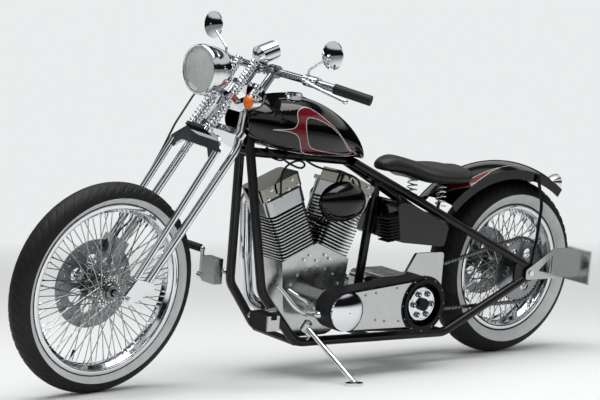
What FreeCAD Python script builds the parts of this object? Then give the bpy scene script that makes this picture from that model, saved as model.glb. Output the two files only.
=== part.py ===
# Chopper motorcycle with a spring fork, parked on its side stand.
# Lengths are millimetres and angles degrees. The machine is laid out upright, with X from the
# front wheel to the rear one, Y to the rider's right and Z up from the floor, its origin on the
# floor midway between the axles. Each sub-part is then leaned onto the stand, and what the fork
# carries is turned about the steering axis first.
import FreeCAD, Part
import math
import os
import re
from types import SimpleNamespace
from FreeCAD import Placement, Rotation, Vector

SIZES = {
    # Stance
    "wheelbase": 1744.0, "rake_angle": 37.6, "trail": 146.0,
    "lean_angle": 7.6, "steer_angle": 7.7, "fit_gap": 0.3, "overrun": 4.0,
    # Front wheel
    "front_tyre_radius": 345.0, "front_tyre_width": 92.0, "front_shoulder_drop": 40.0,
    "front_rim_radius": 280.0, "front_rim_width": 62.0, "front_seat_radius": 267.0,
    "front_hub_radius": 24.0, "front_flange_radius": 40.0, "front_hub_width": 112.0,
    "front_flange_place": 34.0, "front_axle_radius": 9.0, "front_axle_length": 290.0,
    "front_disc_radius": 146.0, "front_disc_place": 58.0,
    # Rear wheel
    "rear_tyre_radius": 332.0, "rear_tyre_width": 150.0, "rear_shoulder_drop": 48.0,
    "rear_rim_radius": 238.0, "rear_rim_width": 108.0, "rear_seat_radius": 224.0,
    "rear_hub_radius": 34.0, "rear_flange_radius": 56.0, "rear_hub_width": 188.0,
    "rear_flange_place": 44.0, "rear_axle_radius": 10.0, "rear_axle_length": 348.0,
    "rear_disc_radius": 130.0, "rear_disc_place": 98.0,
    # Shared wheel parts
    "tyre_wall": 9.0, "rim_wall": 3.5, "rim_flange": 4.0, "rim_well_depth": 12.0,
    "flange_wall": 6.0, "spoke_radius": 2.0, "spoke_pairs": 10.0,
    # Brake discs
    "disc_wall": 5.0, "disc_windows": 7.0, "window_place": 0.52, "window_share": 0.17,
    "disc_vents": 22.0, "vent_radius": 3.2, "vent_inner": 0.82, "vent_outer": 0.92,
    # Final drive
    "sprocket_radius": 115.0, "sprocket_wall": 7.0, "small_sprocket_radius": 54.0,
    "chain_place": 103.0, "chain_height": 13.0, "chain_width": 16.0, "chain_gap": 0.3,
    "chain_pitch": 15.875, "tooth_depth": 6.0, "sprocket_windows": 6.0,
    "sprocket_window": 20.0, "sprocket_window_place": 70.0,
    # Frame
    "frame_tube": 16.0, "neck_radius": 28.0, "neck_bore": 20.0, "neck_low": 812.0,
    "neck_length": 150.0, "bearing_radius": 33.0, "bearing_height": 10.0,
    "down_tube_top_x": 356.0, "down_tube_top_y": 20.0, "down_tube_top_z": 846.0,
    "down_tube_low_x": 306.0, "cradle_half": 92.0, "down_tube_low_z": 312.0,
    "rail_half": 116.0, "rail_front_x": 168.0, "rail_front_z": 138.0,
    "rail_rear_x": 505.0, "rail_rear_z": 124.0, "stay_half": 152.0, "frame_bend": 70.0,
    "spine_front_x": 352.0, "spine_rear_x": 110.0, "spine_rear_z": 738.0,
    "spine_front_z": 775.0, "upper_stay_z": 366.0, "stay_back": 26.0, "stay_top_half": 26.0,
    "lower_stay_z": 306.0, "seat_post_top_x": 226.0, "seat_post_low_x": 168.0,
    "fender_cross_x": 525.0, "cross_tube": 12.0,
    "axle_plate_wall": 10.0, "axle_plate_long": 130.0, "axle_plate_tall": 104.0,
    "axle_plate_corner": 24.0,
    # Engine
    "crank_x": 66.0, "crank_z": 264.0, "case_radius": 128.0, "case_half": 66.0,
    "case_top": 186.0, "case_flat": 78.0, "cylinder_angle": 22.5, "case_corner": 60.0,
    "barrel_radius": 52.0, "barrel_length": 164.0, "fin_long": 152.0, "fin_wide": 140.0,
    "fin_wall": 4.0, "fin_pitch": 11.5, "fin_corner": 24.0, "fin_count": 14.0,
    "head_long": 160.0, "head_wide": 138.0, "head_tall": 54.0,
    "rocker_long": 172.0, "rocker_wide": 120.0, "rocker_tall": 46.0, "rocker_corner": 18.0,
    "shaft_housing": 52.0, "cam_cover_radius": 88.0, "cam_cover_wall": 30.0,
    "pushrod_radius": 8.0, "pushrod_place": 82.0, "pushrod_low": 20.5, "pushrod_high": 52.0,
    "pushrod_low_half": 8.5, "pushrod_high_half": 10.0, "tappet_foot": 62.0, "tappet_top": 100.0,
    "tappet_long": 36.0, "tappet_wide": 24.0, "lug_long": 46.0, "lug_inner": 55.0, "lug_wall": 14.0,
    # Primary drive and gearbox
    "clutch_x": 280.0, "clutch_z": 268.0, "clutch_radius": 95.0, "clutch_inner": 76.0,
    "front_pulley_radius": 62.0, "belt_wall": 6.0, "belt_width": 72.0,
    "belt_place": 204.0, "drum_face": 252.0, "cap_height": 20.0, "cap_radius": 64.0,
    "pressure_radius": 60.0, "pressure_wall": 14.0, "clutch_post": 8.0,
    "motor_plate_wall": 12.0, "motor_plate_place": 152.0, "motor_plate_top": 430.0,
    "motor_plate_rear": 438.0, "motor_plate_low": 212.0, "motor_plate_nose": 60.0,
    "guard_wall": 8.0, "guard_place": 248.0, "guard_post": 9.0,
    "gearbox_x": 312.0, "gearbox_z": 250.0, "gearbox_half": 84.0, "gearbox_long": 204.0,
    "gearbox_tall": 172.0, "gearbox_corner": 26.0, "main_shaft": 22.0,
    # Intake, horn and exhaust
    "air_cleaner_radius": 76.0, "air_cleaner_wall": 56.0, "air_cleaner_place": 142.0,
    "intake_radius": 20.0, "intake_z": 545.0, "horn_x": 6.0, "horn_z": 614.0,
    "horn_long": 98.0, "horn_deep": 56.0, "horn_tall": 70.0, "horn_place": 104.0,
    "pipe_radius": 22.0, "pipe_bend": 90.0, "pipe_end_x": 700.0, "pipe_place": 184.0,
    "front_pipe_z": 196.0, "rear_pipe_z": 262.0,
    # Tank, oil tank, seat and fender
    "tank_front": 404.0, "tank_rear": 136.0, "tank_half": 150.0, "tank_base": 768.0,
    "tank_height": 200.0, "tank_slot": 48.0, "tank_slot_back": 60.0, "tank_notch": 12.0,
    "tank_cap_x": 204.0, "tank_cap_y": 50.0, "tank_cap_radius": 30.0, "tank_cap_height": 22.0,
    "tank_cap_drop": 12.0,
    "oil_front": 236.0, "oil_rear": 486.0, "oil_half": 120.0, "oil_top": 606.0,
    "oil_low": 440.0, "oil_corner": 16.0, "oil_slot": 28.0, "oil_lug_x": 290.0,
    "regulator_place": 100.0, "regulator_z": 520.0, "regulator_long": 40.0,
    "regulator_wide": 44.0, "regulator_tall": 91.0, "regulator_fins": 8.0,
    "regulator_fin_wall": 4.0, "regulator_fin_pitch": 11.5, "regulator_fin_reach": 56.0,
    "seat_front": 222.0, "seat_rear": 627.0, "seat_half": 160.0, "seat_base": 664.0,
    "seat_height": 92.0, "seat_pan": 5.0, "seat_spring_x": 470.0, "seat_spring_y": 80.0,
    "seat_spring_radius": 20.0, "seat_spring_turns": 5.0,
    "fender_centre_x": 821.0, "fender_centre_z": 269.0, "fender_radius": 462.0,
    "fender_half": 92.0, "fender_skirt": 56.0, "fender_wall": 2.5, "fender_crown": 22.0,
    "fender_tab_share": 0.05, "fender_front_angle": 134.0, "fender_rear_angle": 55.0,
    "strut_radius": 6.0, "strut_bend": 120.0,
    # Tail light and plate
    "lamp_radius": 33.0, "lamp_long": 44.0,
    "lens_depth": 12.0, "lamp_neck": 12.0,
    "bracket_wall": 6.0, "bracket_place": 166.0, "bracket_rear": 1057.0, "bracket_top": 421.0,
    "bracket_low": 306.0, "plate_wide": 120.0, "plate_tall": 128.0, "plate_wall": 3.0,
    # Foot controls and stand
    "peg_x": 414.0, "peg_z": 264.0, "peg_inner": 214.0, "peg_outer": 306.0,
    "peg_long": 46.0, "peg_tall": 49.0, "peg_rib": 3.0, "peg_ribs": 4.0, "peg_arm": 9.0,
    "peg_core": 6.0, "peg_cap": 8.0, "peg_bend": 48.0,
    "brake_unit_x": 345.0, "brake_unit_y": 147.0, "brake_unit_z": 345.0,
    "brake_unit_long": 34.0, "brake_unit_wide": 76.0, "brake_unit_tall": 88.0,
    "pedal_x": 357.0, "pedal_y": 195.0, "pedal_z": 410.0, "pedal_pivot_z": 318.0,
    "pedal_radius": 14.0, "pedal_rod": 7.0, "pedal_eye": 12.0, "pedal_eye_wide": 24.0,
    "pedal_outer": 296.0, "pedal_ribs": 7.0,
    "stand_pivot_x": 150.0, "stand_pivot_y": 148.0, "stand_pivot_z": 200.0,
    "stand_rod": 9.0, "stand_foot_x": 118.0, "stand_foot_y": 390.0,
    "stand_pad_radius": 30.0, "stand_pad_wall": 9.0, "stand_eye": 15.0, "stand_eye_wide": 20.0,
    "stand_bolt": 7.0, "fold_out_share": 0.12,
    "fold_drop_share": 0.22, "stand_ear_wall": 6.0,
    # Fork
    "leg_half": 108.0, "rigid_leg": 13.0, "sprung_leg": 11.0, "rocker_place": 130.0,
    "rocker_wall": 10.0, "rigid_pivot_x": 790.0, "rigid_pivot_z": 376.0,
    "sprung_pivot_x": 839.0, "sprung_pivot_z": 390.0, "pivot_radius": 16.0,
    "rigid_knee_x": 480.0, "rigid_knee_z": 806.0, "rigid_neck_x": 416.0,
    "rigid_neck_z": 939.0, "rigid_neck_half": 52.0, "rigid_top_x": 366.0, "rigid_top_z": 1000.0,
    "sprung_top_x": 566.0, "sprung_top_z": 800.0, "stem_radius": 19.7,
    "crown_wall": 22.0, "yoke_wall": 16.0, "crown_edge": 8.0, "yoke_edge": 6.0,
    "crown_corner": 20.0, "perch_wall": 22.0, "perch_station": 1095.0,
    "bridge_wall": 10.0, "bridge_half": 122.0, "bridge_tall": 84.0, "bridge_top_half": 78.0,
    "bridge_arch": 64.0, "spring_half": 38.0, "spring_offset": 157.0,
    "lower_spring_long": 118.0, "upper_spring_long": 130.0, "lower_spring_radius": 19.0,
    "upper_spring_radius": 16.0, "spring_rod": 6.0, "spring_groove": 5.0,
    "lower_spring_turns": 8.0, "upper_spring_turns": 11.0,
    # Bars, lamps and mirrors
    "bar_radius": 12.7, "bar_x": 300.0, "bar_z": 1052.0, "bar_corner": 278.0, "control_place": 239.0,
    "grip_outer_x": 228.0, "grip_outer_y": 424.0, "grip_outer_z": 1030.0,
    "grip_radius": 17.0, "grip_long": 124.0, "bar_bend": 60.0, "riser_radius": 14.0, "riser_half": 46.0,
    "headlight_x": 580.0, "headlight_z": 1048.0, "headlight_radius": 82.0,
    "headlight_depth": 120.0, "headlight_lens": 14.0,
    "signal_x": 450.0, "signal_y": 106.0, "signal_z": 962.0, "signal_radius": 26.0,
    "signal_depth": 58.0, "signal_stalk": 6.0,
    "mirror_x": 290.0, "mirror_y": 296.0, "mirror_z": 1150.0, "mirror_radius": 46.0,
    "mirror_wall": 16.0, "mirror_stem": 4.0, "mirror_base_y": 206.0,
    "lever_radius": 6.0, "lever_ball": 9.0, "control_long": 40.0, "lever_drop": 32.0,
    "lever_reach": 66.0, "hose_radius": 3.5, "hose_place": 127.0, "hose_bend": 70.0,
    "speedo_x": 310.0, "speedo_z": 1104.0, "speedo_radius": 32.0, "speedo_long": 80.0,
    "speedo_tilt": 18.0,
}


def make_sheet():
    """Write every size into a sheet, one alias a row."""
    page = doc.addObject("Spreadsheet::Sheet", "Sizes")
    for row, (alias, number) in enumerate(SIZES.items(), 1):
        page.set(f"A{row}", alias)
        page.set(f"B{row}", str(number))
        page.setAlias(f"B{row}", alias)
    doc.recompute()
    return page


doc = FreeCAD.newDocument("chopper")
sheet = make_sheet()
s = SimpleNamespace(**{alias: float(sheet.get(alias)) for alias in SIZES})
ORIGIN = Vector(0, 0, 0)
ALONG, ACROSS, UP = Vector(1, 0, 0), Vector(0, 1, 0), Vector(0, 0, 1)
SIDES = {"left": -1, "right": 1}
nodes = {}


# Helpers that make one object of the document each

def formula(text):
    """A size's formula with each alias written as the sheet's cell."""
    def cell(word):
        return f"Sizes.{word.group()}" if word.group() in SIZES else word.group()
    return re.sub(r"[a-z][a-z_]*", cell, text)


def bind(piece, **formulas):
    """Tie properties of an object to cells of the sheet."""
    for prop, text in formulas.items():
        piece.setExpression(prop, formula(text))
    piece.recompute()
    return piece


def rod(name, start, end, radius):
    """Round bar from one point to another."""
    piece = bind(doc.addObject("Part::Cylinder", name), Radius=radius)
    piece.Height = (end - start).Length
    piece.Placement = Placement(start, Rotation(UP, end - start))
    return piece


def disc(name, centre, radius, width, direction=ACROSS):
    """Round piece about a line through its centre."""
    piece = bind(doc.addObject("Part::Cylinder", name), Radius=radius, Height=width)
    turn = Rotation(UP, direction)
    piece.Placement = Placement(centre - turn.multVec(UP) * (piece.Height.Value / 2), turn)
    return piece


def block(name, centre, length, width, height, turn=Rotation()):
    """Square piece centred on a point."""
    piece = bind(doc.addObject("Part::Box", name), Length=length, Width=width, Height=height)
    half = Vector(piece.Length.Value, piece.Width.Value, piece.Height.Value) * 0.5
    piece.Placement = Placement(centre - turn.multVec(half), turn)
    return piece


def ball(name, centre, radius):
    """Sphere about a point."""
    piece = bind(doc.addObject("Part::Sphere", name), Radius=radius)
    piece.Placement = Placement(centre, Rotation())
    return piece


def outline_edges(outline):
    """Edges of a closed outline. A point is (x, y) or (x, y, corner radius), and a point
    marked "by" lies on the arc between its two neighbours."""
    corners, bows = [], {}
    for item in outline:
        if item[0] == "by":
            bows[len(corners) - 1] = Vector(item[1], item[2], 0)
        else:
            corners.append(item)
    places = [Vector(corner[0], corner[1], 0) for corner in corners]
    arrive, leave, rounds = list(places), list(places), {}
    for i, corner in enumerate(corners):
        if len(corner) < 3:
            continue
        back = (places[i - 1] - places[i]).normalize()
        ahead = (places[(i + 1) % len(places)] - places[i]).normalize()
        half = back.getAngle(ahead) / 2
        reach = corner[2] / math.tan(half)
        arrive[i], leave[i] = places[i] + back * reach, places[i] + ahead * reach
        inward = (back + ahead).normalize() * (corner[2] / math.sin(half) - corner[2])
        rounds[i] = Part.Arc(arrive[i], places[i] + inward, leave[i])
    edges = []
    for i in range(len(places)):
        following = (i + 1) % len(places)
        if i in rounds:
            edges.append(rounds[i])
        if i in bows:
            edges.append(Part.Arc(leave[i], bows[i], arrive[following]))
        elif (leave[i] - arrive[following]).Length > Part.Precision.confusion() * 10:
            edges.append(Part.LineSegment(leave[i], arrive[following]))
    return edges


def sketch(name, outlines, place, holes=()):
    """Drawing of closed outlines and round holes on a plane."""
    drawing = doc.addObject("Sketcher::SketchObject", name)
    drawing.Placement = place
    for outline in outlines:
        drawing.addGeometry(outline_edges(outline), False)
    for x, y, radius in holes:
        drawing.addGeometry(Part.Circle(Vector(x, y, 0), UP, radius), False)
    return drawing


def side_view(across):
    """Plane of a side view, X and Z, at a distance across the machine."""
    return Placement(Vector(0, across, 0), Rotation(ALONG, 90))


def plate(name, outlines, thickness, place, holes=()):
    """Flat piece of even thickness, its middle plane on its drawing."""
    piece = doc.addObject("Part::Extrusion", name)
    piece.Base = sketch(name + "_outline", outlines, place, holes)
    piece.DirMode = "Normal"
    piece.Solid = True
    piece.Symmetric = True
    return bind(piece, LengthFwd=thickness)


def turned(name, outlines, centre, direction=ACROSS, angle=360.0, start=None):
    """Solid of revolution. Its outline has (radius, distance along the line) points."""
    turn = start or Rotation(ACROSS, direction)
    piece = doc.addObject("Part::Revolution", name)
    piece.Source = sketch(name + "_outline", outlines, Placement(centre, turn))
    piece.Axis = turn.multVec(ACROSS)
    piece.Base = centre
    piece.Angle = angle
    piece.Solid = True
    return piece


def bent_line(points, bend):
    """Wire of straight runs joined by tangent arcs."""
    edges, last = [], points[0]
    for i in range(1, len(points) - 1):
        back, ahead = points[i - 1] - points[i], points[i + 1] - points[i]
        half = back.getAngle(ahead) / 2
        room = 0.45 * min(back.Length, ahead.Length)
        radius = min(bend, room * math.tan(half))
        reach = radius / math.tan(half)
        back.normalize()
        ahead.normalize()
        inward = (back + ahead).normalize() * (radius / math.sin(half) - radius)
        entry, leaving = points[i] + back * reach, points[i] + ahead * reach
        edges.append(Part.LineSegment(last, entry).toShape())
        edges.append(Part.Arc(entry, points[i] + inward, leaving).toShape())
        last = leaving
    edges.append(Part.LineSegment(last, points[-1]).toShape())
    return Part.Wire(edges)


def tube(name, points, radius, bend):
    """Round tube along a bent line."""
    line = doc.addObject("Part::Feature", name + "_line")
    line.Shape = bent_line(points, bend)
    ring = bind(doc.addObject("Part::Circle", name + "_ring"), Radius=radius)
    ring.Placement = Placement(points[0], Rotation(UP, points[1] - points[0]))
    piece = doc.addObject("Part::Sweep", name)
    piece.Sections = [ring]
    piece.Spine = (line, [f"Edge{i + 1}" for i in range(len(line.Shape.Edges))])
    piece.Solid = True
    return piece


def lofted(name, wires):
    """Smooth solid through a row of closed outlines."""
    sections = []
    for i, wire in enumerate(wires):
        section = doc.addObject("Part::Feature", f"{name}_section_{i}")
        section.Shape = wire
        sections.append(section)
    piece = doc.addObject("Part::Loft", name)
    piece.Sections = sections
    piece.Solid = True
    return piece


def fused(name, pieces):
    """One solid of several welded, cast or bolted pieces."""
    piece = doc.addObject("Part::MultiFuse", name)
    piece.Shapes = pieces
    return piece


def cut(name, base, tools):
    """A piece with others taken out of it."""
    piece = doc.addObject("Part::Cut", name)
    piece.Base = base
    piece.Tool = tools[0] if len(tools) == 1 else fused(name + "_tools", tools)
    return piece


def together(name, pieces):
    """Like pieces that share a node and don't touch."""
    piece = doc.addObject("Part::Compound", name)
    piece.Links = pieces
    return piece


def mirrored(name, source):
    """The same piece on the other side of the machine."""
    piece = doc.addObject("Part::Mirroring", name)
    piece.Source = source
    piece.Normal = ACROSS
    return piece


def keep(label, piece, place):
    """Give a finished sub-part its name and its place in the parked machine."""
    piece.recompute(True)
    piece.Label = label
    piece.Placement = place.multiply(piece.Placement)
    nodes[label] = piece


# Stance: steering axis, lean, and the tyres' contact with the floor

front_axle = Vector(-s.wheelbase / 2, 0, s.front_tyre_radius)
rear_axle = Vector(s.wheelbase / 2, 0, s.rear_tyre_radius)
crank = Vector(-s.crank_x, 0, s.crank_z)
clutch = Vector(s.clutch_x, 0, s.clutch_z)
rake = math.radians(s.rake_angle)
steer_axis = Vector(math.sin(rake), 0, math.cos(rake))
steer_front = Vector(-math.cos(rake), 0, math.sin(rake))
axis_foot = Vector(-s.wheelbase / 2 - s.trail, 0, 0)


def axis_point(height):
    """Point of the steering axis at a height above the floor."""
    return axis_foot + steer_axis * (height / math.cos(rake))


def tyre_low(place, axle, radius, width, drop):
    """Height of a leaning tyre's lowest point. Its tread is part of a ring."""
    tread = ((width / 2) ** 2 + drop ** 2) / (2 * drop)
    line = place.Rotation.multVec(ACROSS)
    return place.multVec(axle).z - (radius - tread) * math.sqrt(1 - line.z ** 2) - tread


steered = Placement(ORIGIN, Rotation(steer_axis, s.steer_angle), axis_foot)
leaned = Placement(ORIGIN, Rotation(ALONG, s.lean_angle))
front_low = tyre_low(leaned.multiply(steered), front_axle, s.front_tyre_radius,
                     s.front_tyre_width, s.front_shoulder_drop)
rear_low = tyre_low(leaned, rear_axle, s.rear_tyre_radius, s.rear_tyre_width,
                    s.rear_shoulder_drop)
nose_drop = math.degrees(math.asin((front_low - rear_low) / s.wheelbase))
bars_shift = s.grip_outer_z * math.sin(math.radians(s.lean_angle))
levelled = Placement(Vector(0, bars_shift, -rear_low), Rotation(ACROSS, -nose_drop),
                     Vector(s.wheelbase / 2, 0, 0))
chassis = levelled.multiply(leaned)
fork = chassis.multiply(steered)
parked = Placement()

stand_pivot = chassis.multVec(Vector(-s.stand_pivot_x, -s.stand_pivot_y, s.stand_pivot_z))
stand_foot = Vector(-s.stand_foot_x, bars_shift - s.stand_foot_y, s.stand_pad_wall)
stand_down = (stand_foot - stand_pivot).normalize()
stand_folded = chassis.Rotation.multVec(
    Vector(1, -s.fold_out_share, -s.fold_drop_share)).normalize()
stand_hinge = stand_down.cross(stand_folded).normalize()


# Wheels

def tyre_outline(radius, width, drop, rim_radius, rim_width, seat_radius):
    """Section of a tyre with its beads on the rim. Points are (radius, across)."""
    bead = rim_width / 2 - s.rim_flange - s.fit_gap
    foot, lip = seat_radius + s.fit_gap, rim_radius + s.fit_gap
    outer, inner = width / 2, width / 2 - s.tyre_wall
    return [(foot, -bead), (lip, -bead), (radius - drop, -outer), ("by", radius, 0),
            (radius - drop, outer), (lip, bead), (foot, bead), (foot, bead - s.tyre_wall),
            (lip, bead - s.tyre_wall), (radius - drop, inner),
            ("by", radius - s.tyre_wall, 0), (radius - drop, -inner),
            (lip, s.tyre_wall - bead), (foot, s.tyre_wall - bead)]


def rim_outline(rim_radius, rim_width, seat_radius):
    """Section of a steel rim with its well. Points are (radius, across)."""
    edge, flange = rim_width / 2, rim_width / 2 - s.rim_flange
    well = seat_radius - s.rim_well_depth
    shelf, floor = edge * 0.62, edge * 0.4
    return [(rim_radius, -edge), (rim_radius, -flange), (seat_radius, -flange),
            (seat_radius, -shelf), (well, -floor), (well, floor), (seat_radius, shelf),
            (seat_radius, flange), (rim_radius, flange), (rim_radius, edge),
            (seat_radius - s.rim_wall, edge), (seat_radius - s.rim_wall, shelf + s.rim_wall),
            (well - s.rim_wall, floor + s.rim_wall / 2),
            (well - s.rim_wall, -floor - s.rim_wall / 2),
            (seat_radius - s.rim_wall, -shelf - s.rim_wall), (seat_radius - s.rim_wall, -edge)]


def hub_outline(hub_radius, flange_radius, width, flange_place, bore):
    """Half section of a hub with two spoke flanges."""
    half, wall = width / 2, s.flange_wall
    return [(bore, -half), (hub_radius, -half), (hub_radius, -flange_place - wall),
            (flange_radius, -flange_place - wall / 2), (flange_radius, -flange_place + wall / 2),
            (hub_radius, -flange_place + wall), (hub_radius, flange_place - wall),
            (flange_radius, flange_place - wall / 2), (flange_radius, flange_place + wall / 2),
            (hub_radius, flange_place + wall), (hub_radius, half), (bore, half)]


def spokes(name, axle, flange_radius, flange_place, well_radius):
    """Crossed wire spokes from both hub flanges to the rim's well."""
    wires = []
    pairs = int(s.spoke_pairs)
    for side in (-1, 1):
        for number in range(pairs):
            for lean in (-1, 1):
                foot = (number + side * 0.25) * 360 / pairs
                head = foot + lean * 0.55 * 360 / pairs
                low = Rotation(ACROSS, foot).multVec(ALONG) * (flange_radius - s.flange_wall)
                high = Rotation(ACROSS, head).multVec(ALONG) * (well_radius - s.rim_wall / 2)
                low.y = side * (flange_place + lean * s.spoke_radius)
                high.y = side * s.rim_wall
                wires.append(rod(f"{name}_{len(wires)}", axle + low, axle + high,
                                 "spoke_radius"))
    return wires


def wire_wheel(label, axle, place, rim_radius, rim_width, seat_radius, hub_radius,
               flange_radius, hub_width, flange_place, axle_radius):
    """Steel rim laced to its hub."""
    rim = turned(label + "_rim", [rim_outline(rim_radius, rim_width, seat_radius)], axle)
    hub = turned(label + "_hub", [hub_outline(hub_radius, flange_radius, hub_width,
                                              flange_place, axle_radius + s.fit_gap)], axle)
    lacing = spokes(label + "_spoke", axle, flange_radius, flange_place,
                    seat_radius - s.rim_well_depth)
    keep(label, fused(label, [rim, hub] + lacing), place)


def ring_of_holes(centre, radius, hole, count, offset=0.0):
    """Round holes evenly round a centre in the side view, as (x, z, radius)."""
    holes = []
    for number in range(int(count)):
        turn = 2 * math.pi * (number + offset) / count
        holes.append((centre.x + radius * math.cos(turn), centre.z + radius * math.sin(turn), hole))
    return holes


def brake_disc(label, centre, place, radius, bore):
    """Steel brake disc with windows round its middle and two rows of vent holes."""
    holes = [(centre.x, centre.z, radius), (centre.x, centre.z, bore)]
    holes += ring_of_holes(centre, radius * s.window_place, radius * s.window_share, s.disc_windows)
    holes += ring_of_holes(centre, radius * s.vent_inner, s.vent_radius, s.disc_vents)
    holes += ring_of_holes(centre, radius * s.vent_outer, s.vent_radius, s.disc_vents, 1 / 2)
    keep(label, plate(label, [], "disc_wall", side_view(centre.y), holes), place)


def front_wheel():
    keep("front_tyre", turned("front_tyre", [tyre_outline(
        s.front_tyre_radius, s.front_tyre_width, s.front_shoulder_drop, s.front_rim_radius,
        s.front_rim_width, s.front_seat_radius)], front_axle), fork)
    wire_wheel("front_wheel", front_axle, fork, s.front_rim_radius, s.front_rim_width,
               s.front_seat_radius, s.front_hub_radius, s.front_flange_radius,
               s.front_hub_width, s.front_flange_place, s.front_axle_radius)
    place = front_axle + ACROSS * (s.front_disc_place - s.disc_wall)
    brake_disc("front_disc", place, fork, s.front_disc_radius,
               s.front_hub_radius + s.fit_gap)


def rear_wheel():
    keep("rear_tyre", turned("rear_tyre", [tyre_outline(
        s.rear_tyre_radius, s.rear_tyre_width, s.rear_shoulder_drop, s.rear_rim_radius,
        s.rear_rim_width, s.rear_seat_radius)], rear_axle), chassis)
    wire_wheel("rear_wheel", rear_axle, chassis, s.rear_rim_radius, s.rear_rim_width,
               s.rear_seat_radius, s.rear_hub_radius, s.rear_flange_radius,
               s.rear_hub_width, s.rear_flange_place, s.rear_axle_radius)
    brake_disc("rear_disc", rear_axle + ACROSS * (s.rear_disc_place - s.disc_wall), chassis,
               s.rear_disc_radius, s.rear_hub_radius + s.fit_gap)


# Final drive

def dome(radius, base, height):
    """Middle of the arc of a round cap, and its tip on the line."""
    ball_radius = (radius ** 2 + height ** 2) / (2 * height)
    half = math.asin(min(1.0, radius / ball_radius)) / 2
    if height > radius:
        half = math.pi / 2 - half
    return ("by", ball_radius * math.sin(half),
            base + height - ball_radius * (1 - math.cos(half))), (0, base + height)


def hull_outline(circles):
    """Outline drawn tight round circles (x, z, radius), taken counter-clockwise."""
    centres = [Vector(x, z, 0) for x, z, _ in circles]
    normals = []
    for i, centre in enumerate(centres):
        following = (i + 1) % len(centres)
        span = centres[following] - centre
        share = (circles[i][2] - circles[following][2]) / span.Length
        span.normalize()
        normals.append(span * share + Vector(span.y, -span.x, 0) * math.sqrt(1 - share ** 2))
    outline = []
    for i, centre in enumerate(centres):
        radius, before, after = circles[i][2], normals[i - 1], normals[i]
        turn = math.atan2(after.y, after.x) - math.atan2(before.y, before.x)
        half = math.degrees(turn % (2 * math.pi)) / 2
        middle = Rotation(UP, half).multVec(before)
        arrive, bow, leave = (centre + way * radius for way in (before, middle, after))
        outline += [(arrive.x, arrive.y), ("by", bow.x, bow.y), (leave.x, leave.y)]
    return outline


def loop_outline(first, first_radius, second, second_radius):
    """Outline of a belt or chain round two wheels, in the side view."""
    return hull_outline([(first.x, first.z, first_radius), (second.x, second.z, second_radius)])


CHAIN_SHARES = [1.0, 0.97, 0.6, 0.97]


def chain_outlines():
    """Both edges of the chain. Its links are full at the pins and narrower between them."""
    half = s.chain_height / 2
    middle = s.chain_gap + half
    loop = loop_outline(clutch, s.small_sprocket_radius + middle,
                        rear_axle, s.sprocket_radius + middle)
    line = Part.Wire([edge.toShape() for edge in outline_edges(loop)])
    links = round(line.Length / s.chain_pitch / 2) * 2
    count = links * len(CHAIN_SHARES)
    points = line.discretize(Number=count + 1)[:count]
    edges = ([], [])
    for i, point in enumerate(points):
        ahead = points[(i + 1) % count] - points[i - 1]
        out = Vector(ahead.y, -ahead.x, 0).normalize()
        reach = half * CHAIN_SHARES[i % len(CHAIN_SHARES)]
        for edge, way in zip(edges, (1, -1)):
            spot = point + out * (way * reach)
            edge.append((spot.x, spot.y))
    return list(edges)


def sprocket_outline(centre, radius):
    """Toothed edge of a sprocket, its tips at the radius."""
    teeth = round(2 * math.pi * (radius + s.chain_gap + s.chain_height / 2) / s.chain_pitch)
    root = radius - s.tooth_depth
    outline = []
    for number in range(teeth):
        for share, level in ((0.0, root), (0.4, root), (0.6, radius), (0.8, radius)):
            turn = 2 * math.pi * (number + share) / teeth
            outline.append((centre.x + level * math.cos(turn), centre.z + level * math.sin(turn)))
    return outline


def final_drive():
    """Chain from the gearbox to the rear wheel, and its two sprockets."""
    keep("drive_chain", plate("drive_chain", chain_outlines(), "chain_width",
                              side_view(-s.chain_place)), chassis)
    small = plate("small_sprocket_plate", [sprocket_outline(clutch, s.small_sprocket_radius)],
                  "sprocket_wall", side_view(-s.chain_place))
    shaft = rod("small_sprocket_shaft", clutch - ACROSS * (s.gearbox_half + s.fit_gap),
                clutch - ACROSS * (s.motor_plate_place - s.motor_plate_wall / 2 - s.fit_gap),
                "main_shaft")
    keep("gearbox_sprocket", fused("gearbox_sprocket", [small, shaft]), chassis)
    holes = ring_of_holes(rear_axle, s.sprocket_window_place, s.sprocket_window, s.sprocket_windows)
    holes.append((rear_axle.x, rear_axle.z, s.rear_axle_radius + s.fit_gap))
    keep("rear_sprocket", plate("rear_sprocket", [sprocket_outline(rear_axle, s.sprocket_radius)],
                                "sprocket_wall", side_view(-s.chain_place), holes), chassis)


# Frame

def frame_loop(side):
    """Down tube, lower rail and lower rear stay, bent from one tube."""
    points = [
        Vector(-s.down_tube_top_x, side * s.down_tube_top_y, s.down_tube_top_z),
        Vector(-s.down_tube_low_x, side * s.cradle_half, s.down_tube_low_z),
        Vector(-s.rail_front_x, side * s.rail_half, s.rail_front_z),
        Vector(s.rail_rear_x, side * s.rail_half, s.rail_rear_z),
        Vector(s.wheelbase / 2 - s.stay_back, side * s.stay_half, s.lower_stay_z)]
    return tube(f"loop_{side + 1}", points, "frame_tube", s.frame_bend)


def rail_point(x, side):
    """Point of a lower rail, or of the line midway between the two."""
    share = (x + s.rail_front_x) / (s.rail_rear_x + s.rail_front_x)
    height = s.rail_front_z + (s.rail_rear_z - s.rail_front_z) * share
    return Vector(x, side * s.rail_half, height)


def down_point(x, side):
    """Point of a down tube where the spine meets it."""
    share = (s.down_tube_top_z - s.spine_front_z) / (s.down_tube_top_z - s.down_tube_low_z)
    half = s.down_tube_top_y + (s.cradle_half - s.down_tube_top_y) * share
    return Vector(x, side * half, s.spine_front_z)


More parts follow.
